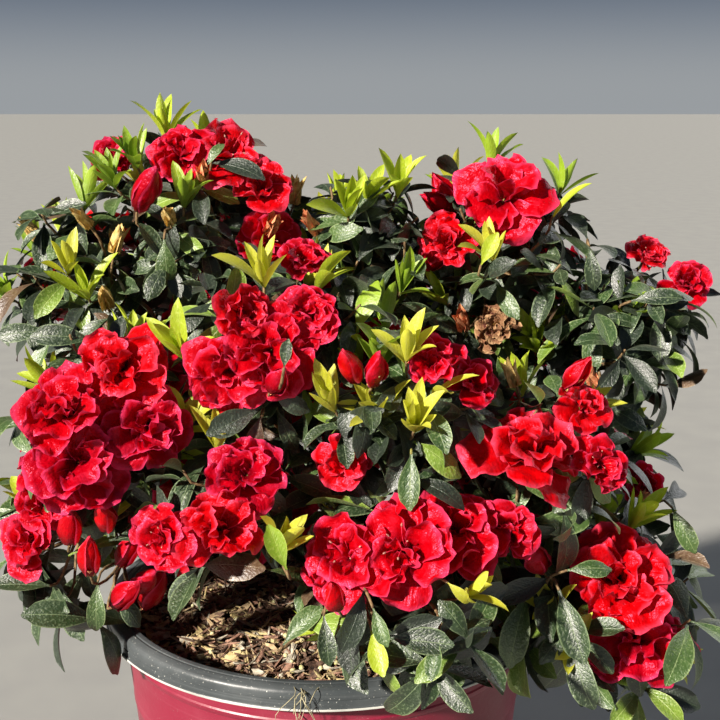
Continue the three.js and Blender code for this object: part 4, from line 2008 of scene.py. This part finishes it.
    def _seen(self, middle: Vector) -> bool:
        """Whether any of a flower at a place shows in the photograph's frame.

        Args:
            middle: The flower's middle.

        Returns:
            True if the masses leave some of it in sight.
        """
        edge, petal = 50.0, 22.0  # pixels outside the frame that count, and its reach in mm
        across, down, _ = self.lens.spot(middle)
        far = self.lens.frame + edge
        if not (-edge < across < far and down < far):
            return False
        back = (self.lens.eye - middle).normalized()
        side = back.cross(UP).normalized()
        starts = (middle + way * petal * MM + back * 6 * MM for way in (side, -side, UP, -UP))
        return any(
            self.outside.ray_cast(start, back)[0] is None
            for start in (*starts, middle + back * 6 * MM)
        )

    def _add_by_chance(self, tip: Vector, point: Vector, face: Vector, mass: Mass) -> None:
        """Adds one shoot whose kind is dealt out by chance and by where it stands.

        Args:
            tip: The tip of its twig.
            point: The point on the mass's surface over it.
            face: The way it looks.
            mass: The mass.
        """
        seen = self._seen(point + face * 12 * MM)
        clump = noise.noise(point * 13.0 + Vector((3.1, 7.7, 1.3)))
        free = all((point - other).length > self.bloom_gap * MM for other, _ in self.petals_at)
        if not seen and clump > 0.02 and face.z > -0.55 and free:
            axis = self._jittered(face * 0.8 + UP * 0.35, 0.16)
            size = self.draw.uniform(52, 64)
            opening = 1.0 if self.draw.uniform() < 0.75 else self.draw.uniform(0.45, 0.8)
            self._add_bloom(point.copy(), axis, mass, size, opening, False)
            return
        axis = self._jittered(face * 0.62 + UP * 0.6, 0.20)
        luck = self.draw.uniform()
        kind = ShootKind.WHORL
        if luck < (0.36 if face.z > 0.35 else 0.19 if face.z > -0.2 else 0.06):
            kind = ShootKind.TUFT
        elif luck > 0.965:
            kind = ShootKind.SCALES
        elif not seen and luck > 0.91 and face.z < 0.6:
            kind = ShootKind.BUDS
        self.shoots.append(Shoot(tip, axis, kind, mass))

    def _fork_twigs(self) -> None:
        """Forks each mass's limb into boughlets and twigs that reach its shoots."""
        for mass in self.masses:
            mine = [shoot for shoot in self.shoots if shoot.mass is mass]
            inward = (mass.hub - mass.seat).normalized()
            line = curve(mass.seat - inward * 4 * MM, inward, mass.hub, inward, 4)
            self.twigs.add(tube(line, (2.0, 1.8), 6))
            for group in self._grouped(mine, max(1, round(len(mine) / 5))):
                centre = sum((shoot.tip for shoot in group), Vector()) / len(group)
                fork = mass.hub.lerp(centre, 0.55)
                way = (fork - mass.hub).normalized()
                leaving = (way + inward * 0.5).normalized()
                line = curve(mass.hub - inward * 2 * MM, leaving, fork, way, 5)
                self.twigs.add(tube(line, (1.6, 1.2)))
                for shoot in group:
                    self._grow_twig(shoot, fork, way)

    @staticmethod
    def _grouped(shoots: list[Shoot], count: int) -> list[list[Shoot]]:
        """Sorts shoots into groups that stand together.

        Args:
            shoots: The shoots of a mass.
            count: How many groups to make.

        Returns:
            The groups, none of them empty.
        """
        seeds = [shoots[0].tip]
        while len(seeds) < count:
            far = max(shoots, key=lambda s: min((s.tip - seed).length for seed in seeds))
            seeds.append(far.tip)
        for _ in range(4):
            groups: list[list[Shoot]] = [[] for _ in seeds]
            for shoot in shoots:
                nearest = min(range(len(seeds)), key=lambda n: (shoot.tip - seeds[n]).length)
                groups[nearest].append(shoot)
            seeds = [
                sum((s.tip for s in group), Vector()) / len(group) if group else seed
                for group, seed in zip(groups, seeds)
            ]
        return [group for group in groups if group]

    def _grow_twig(self, shoot: Shoot, fork: Vector, way: Vector) -> None:
        """Grows a twig from a fork to its shoot, with a few old leaves along it in painted shade.

        Args:
            shoot: The shoot.
            fork: Where its boughlet ends.
            way: The way the boughlet runs there.
        """
        line = curve(fork - way * 1.5 * MM, way, shoot.tip, shoot.axis, 6)
        self.twigs.add(tube(line, (1.15, 0.75)))
        for at in (3, 4, 5):
            if self.draw.uniform() < 0.30:
                continue
            ahead = (line[at] - line[at - 1]).normalized()
            turn, lean = self.draw.uniform(0, math.tau), math.radians(self.draw.uniform(50, 80))
            along, face = fanned(ahead, turn, lean)
            size = self.draw.uniform(0.75, 1.0)
            self._add_leaf(shoot.region, line[at], along, face, size, PAINTED_SHADE_LEAF)

    def _add_leaf(
        self, region: str, base: Vector, along: Vector, face: Vector, scale: float, skin: int,
        shown: bool = False,
    ) -> None:
        """Adds a mature leaf where it has room.

        Args:
            region: The region of the crown.
            base: The foot of its stalk.
            along: The way it points.
            face: The way it looks.
            scale: Its size against its template's.
            skin: The number of its skin.
            shown: Whether it belongs to a shoot that the photograph shows.
        """
        scale *= self.leaf_size[0] if base.z < self.waist * MM else self.leaf_size[1]
        along = self._jittered(along - UP * 0.10, 0.09)
        face = (face + UP * 0.22).normalized()
        if abs(face.dot(along)) > 0.98:
            return
        face = Quaternion(along, math.radians(self.draw.normal(0, 19))) @ face
        checked = [base + along * reach * MM * scale for reach in self.leaf_checks]
        share = 0.7 if shown else 0.85
        if (
            not all(self._inside(spot) for spot in checked)
            or any(self.pot.blocks(spot) for spot in (base, *checked))
            or any(self._hides_mix(spot) for spot in checked)
            or (not shown and self._hides_mix(checked[0], shades=True))
            or any(self._stands_before(spot, share) for spot in (base, *checked))
            or any(
                (spot - middle).length < room * share
                for middle, room in self.petals_at
                for spot in checked
            )
        ):
            return
        blade = self.foliage.mature[self.draw.integers(5)]
        self.foliage.leaves[region].add(blade, placed(base, along, face, scale), skin)

    def _grow(self, shoot: Shoot) -> None:
        """Grows what stands at the tip of a twig.

        Args:
            shoot: The shoot.
        """
        if shoot.kind is ShootKind.BLOOM:
            self._grow_bloom(shoot)
        elif shoot.kind in (ShootKind.BUDS, ShootKind.SCALES):
            self._grow_buds(shoot)
        elif shoot.kind is ShootKind.TUFT:
            self._grow_tuft(shoot)
        elif shoot.kind is ShootKind.SPENT:
            self._grow_spent(shoot)
        else:
            self._grow_whorl(shoot, int(self.draw.integers(6, 9)), 50, 104)

    def _grow_sight(self, shoot: Shoot) -> None:
        """Sets a leaf that stands out, with its face to the light and the camera.

        Args:
            shoot: The leaf's shoot.
        """
        foliage, sight = self.foliage, shoot.sight
        heap = foliage.shoots[shoot.side] if sight.young else foliage.leaves[shoot.region]
        back = (self.lens.eye - shoot.tip).normalized()
        face = self._jittered(back * 0.8 + UP * 0.3 + self.sunward * 0.3, 0.12)
        blade = foliage.mature[self.draw.integers(5)]
        for step in range(16):
            base = shoot.tip + back * 2 * step * MM
            place = placed(base, shoot.axis, face, shoot.across / self.leaf_length)
            if not self._cuts(blade, place):
                break
        if base != shoot.tip:
            stalk = curve(shoot.tip - shoot.axis * MM, back, base + shoot.axis * MM, shoot.axis, 3)
            self.twigs.add(tube(stalk, (0.75, 0.75)), skin=1)
        heap.add(blade, place, sight.skin)

    def _grow_whorl(self, shoot: Shoot, count: int, first: float, last: float) -> None:
        """Sets mature leaves round the tip, the upper ones more upright.

        Args:
            shoot: The shoot.
            count: How many leaves it has.
            first: How far the top leaf leans from the axis, in degrees.
            last: How far the lowest leaf leans.
        """
        draw = self.draw
        turn = draw.uniform(0, math.tau)
        # Skins by share: dark, mid, painted sunlit, bronze and painted shade
        spray = self._dealt(0.47, 0.26, 0.06, 0.03, 0.18)
        for leaf in range(count):
            share = leaf / max(1, count - 1)
            lean = math.radians(first + (last - first) * share + draw.normal(0, 7))
            along, face = fanned(shoot.axis, turn + leaf * GOLDEN_TURN, lean)
            base = shoot.tip - shoot.axis * (1 + 11 * share) * MM
            scale = draw.uniform(0.72, 1.12) + 0.06 * share
            odd = draw.uniform() < 0.22
            skin = self._dealt(0.36, 0.34, 0.14, 0.05, 0.11) if odd else spray
            self._add_leaf(shoot.region, base, along, face, scale, skin, shoot.shown)

    def _grow_tuft(self, shoot: Shoot) -> None:
        """Sets upright young leaves over a few mature ones.

        Args:
            shoot: The shoot.
        """
        draw = self.draw
        count = int(draw.integers(6, 10))
        turn = draw.uniform(0, math.tau)
        skin = self._dealt(0.45, 0.30, 0.25)
        for leaf in range(count):
            share = leaf / (count - 1)
            lean = math.radians(7 + 30 * share + draw.normal(0, 5))
            along, face = fanned(shoot.axis, turn + leaf * GOLDEN_TURN, lean)
            base = shoot.tip - shoot.axis * 3 * share * MM
            scale = draw.uniform(0.75, 1.12)
            if self._inside(base + along * 28 * MM * scale):
                blade = self.foliage.young[draw.integers(3)]
                place = placed(base, along, face, scale)
                self.foliage.shoots[shoot.side].add(blade, place, skin)
        self._leaf_under(shoot, 5, 5, 66, 98, shoot.shown)

    def _leaf_under(
        self, shoot: Shoot, under: float, count: int, first: float, last: float,
        shown: bool = False,
    ) -> None:
        """Sets a whorl of leaves under what grows at a tip.

        Args:
            shoot: The shoot.
            under: How far under, in millimetres.
            count: How many leaves the whorl has.
            first: How far its top leaf leans from the axis, in degrees.
            last: How far its lowest leaf leans.
            shown: Whether the photograph shows the whorl.
        """
        shoot.tip = shoot.tip - shoot.axis * under * MM
        shoot.shown = shown
        self._grow_whorl(shoot, count, first, last)

    def _grow_bloom(self, shoot: Shoot) -> None:
        """Sets a flower on its stalk and calyx over a whorl of leaves.

        Args:
            shoot: The shoot.
        """
        tip, axis = shoot.tip, shoot.axis
        base = tip + axis * 5 * MM
        seat = Seat(shoot.side, base, axis, self._dealt(0.45, 0.33, 0.22))
        self.bloom.flower(seat, shoot.across, shoot.opening)
        stalk = [tip - axis * 2 * MM, tip + axis * 2 * MM, base]
        self.twigs.add(tube(stalk, (0.8, 1.0, 1.7), 6), skin=1)
        self._grow_scales(base - axis * 1.5 * MM, axis, 5, CALYX, 62, 0.42)
        self._leaf_under(shoot, 6, 5, 78, 100)

    def _grow_scales(
        self, base: Vector, axis: Vector, count: int, skin: int, lean: float,
        scale: float = 1.0,
    ) -> None:
        """Sets a spiral of scales or calyx lobes round a base.

        Args:
            base: Their base.
            axis: The way the bud or flower looks.
            count: How many there are.
            skin: The number of their skin.
            lean: How far the outermost lean from the axis, in degrees.
            scale: Their size against their template's.
        """
        turn = self.draw.uniform(0, math.tau)
        for order in range(count):
            share = 0.45 + 0.55 * order / max(1, count - 1)
            angle = math.radians(lean * share + self.draw.normal(0, 7))
            along, face = fanned(axis, turn + order * GOLDEN_TURN, angle)
            place = placed(base, along, face, scale * self.draw.uniform(0.75, 1.2))
            self.foliage.scales.add(self.foliage.scale, place, skin)

    def _grow_buds(self, shoot: Shoot) -> None:
        """Sets wrapped buds in their scales, or one closed bud, over a whorl of leaves.

        Args:
            shoot: The shoot.
        """
        draw = self.draw
        skin = self._dealt(0.5, 0.3, 0.2)
        count = 1 if shoot.shown else int(draw.integers(2, 4))
        if shoot.kind is ShootKind.SCALES:
            count = 0
            self._grow_scales(shoot.tip, shoot.axis, 9, int(draw.integers(2)), 22, 1.25)
        turn = draw.uniform(0, math.tau)
        for bud in range(count):
            lean = 0.0 if count == 1 else math.radians(draw.uniform(12, 24))
            axis, _ = fanned(shoot.axis, turn + math.tau * bud / count, lean)
            length = shoot.across if shoot.shown else draw.uniform(19, 26)
            base = shoot.tip + axis * 2 * MM
            if not self._inside(base + axis * length * MM):
                length = 14.0
            self.bloom.bud(Seat(shoot.side, base, axis, skin), length)
            self._grow_scales(base - axis * MM, axis, 5, int(draw.integers(2)), 34, 0.9)
        self._leaf_under(shoot, 4, 6, 60, 96)

    def _grow_spent(self, shoot: Shoot) -> None:
        """Sets a withered flower: shrunken, curled brown petals.

        Args:
            shoot: The shoot.
        """
        base = shoot.tip + shoot.axis * 6 * MM
        seat = Seat(shoot.side, base, shoot.axis, SPENT_PETAL)
        for count, pitch, scale in ((9, 72, 0.74), (9, 46, 0.66), (8, 20, 0.6), (5, 5, 0.5)):
            self.bloom.ring(seat, self.bloom.inner, count, pitch, scale, 24)
        self._grow_scales(base, shoot.axis, 5, 1, 40)
        self._grow_whorl(shoot, 5, 70, 96)

    def _hand_in(self) -> None:
        """Joins the heaps, and puts the leaves in place of the masses."""
        foliage, bloom = self.foliage, self.bloom
        for region, heap in foliage.leaves.items():
            hand_in(heap.built(), "foliage", *(f"mass_{name}" for name in REGIONS[region]))
        young, petals = foliage.shoots.values(), bloom.petals.values()
        for heap in (*young, *petals, foliage.scales, bloom.stamens):
            hand_in(heap.built(), "foliage")
        hand_in(self.twigs.built(), "bark")
        for kind in ShootKind:
            log.info("%s: %d", kind.value, sum(shoot.kind is kind for shoot in self.shoots))


@dataclass
class Studio:
    """A plain pale floor, low sun from the left front, and a sky that is palest at its foot."""

    from_left: float = 46.0  # degrees from the front round to the left
    height: float = 27.0  # degrees above level
    softness: float = 3.0  # degrees that the sun is across
    power: float = 9.6
    tint: str = "#fff6ea"
    haze: str = "#dfe5ea"
    haze_strength: float = 0.43
    zenith: str = "#9dbce6"
    zenith_strength: float = 0.13
    fill_way: tuple[float, float, float] = (1.0, 0.9, 0.6)
    fill_softness: float = 50.0
    fill_power: float = 1.3  # soft light on the back, which the sun leaves dark
    haze_top: float = 0.15  # the sine of the height at which the haze ends

    @property
    def sunward(self) -> Vector:
        """The way from the shrub to the sun."""
        turn, rise = math.radians(self.from_left), math.radians(self.height)
        level = math.cos(rise)
        return Vector((-math.sin(turn) * level, -math.cos(turn) * level, math.sin(rise)))

    def set_up(self, lens: Lens) -> None:
        """Adds the floor, the lights, the sky and the camera.

        Args:
            lens: The camera.
        """
        alone()
        bpy.ops.mesh.primitive_plane_add(size=60.0)
        floor = bpy.context.object
        floor.name = "studio_floor"
        floor.data.materials.append(FLOOR_SKIN.dress())
        floor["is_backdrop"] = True
        for name, way, softness, power, tint in (
            ("sun", self.sunward, self.softness, self.power, self.tint),
            ("fill_light", Vector(self.fill_way), self.fill_softness, self.fill_power, "#ffffff"),
        ):
            bpy.ops.object.light_add(type="SUN", location=way * 3)
            light = bpy.context.object
            light.name = name
            light.rotation_euler = way.to_track_quat("Z", "Y").to_euler()
            light.data.angle = math.radians(softness)
            light.data.energy = power
            light.data.color = linear(tint)[:3]
        world = bpy.data.worlds.new("studio_sky")
        bpy.context.scene.world = world
        world.use_nodes = True
        self._paint_sky(world.node_tree)
        bpy.context.scene.view_settings.view_transform = "Standard"
        lens.set_up()

    def _paint_sky(self, tree: bpy.types.NodeTree) -> None:
        """Fades the sky from its pale foot to its zenith.

        Args:
            tree: The world's node tree.
        """
        add = partial(add_node, tree)
        height = add("SeparateXYZ", (add("TexCoord", output="Generated"),), 2)
        span = (height, 0.0, self.haze_top, 0.0, 1.0)
        rise = add("MapRange", span, interpolation_type="SMOOTHSTEP")
        tone = add("Mix", {0: rise, 6: self.haze, 7: self.zenith}, 2, data_type="RGBA")
        glow = add("MapRange", {0: rise, 3: self.haze_strength, 4: self.zenith_strength})
        backdrop = tree.nodes["Background"]
        tree.links.new(tone, backdrop.inputs["Color"])
        tree.links.new(glow, backdrop.inputs["Strength"])


def write_sizes() -> None:
    """Reads the frame's box and the visual model's box; nothing is written."""
    boxes = {"cad": CAD_BOX, "visual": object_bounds()}
    plain = {name: [list(map(float, corner)) for corner in box] for name, box in boxes.items()}


def main() -> None:
    """Builds the shrub, its pot and the studio in order."""
    logging.basicConfig(level=logging.INFO, format="%(message)s")
    lens = Lens()
    pot = Pot()
    studio = Studio()
    studio.set_up(lens)
    pot.build()
    Mix(pot).build(lens)
    Wood().build(frame["nodes"])
    Crown(lens, pot, studio.sunward).build(frame["nodes"])
    write_sizes()


if __name__ == "__main__":
    main()
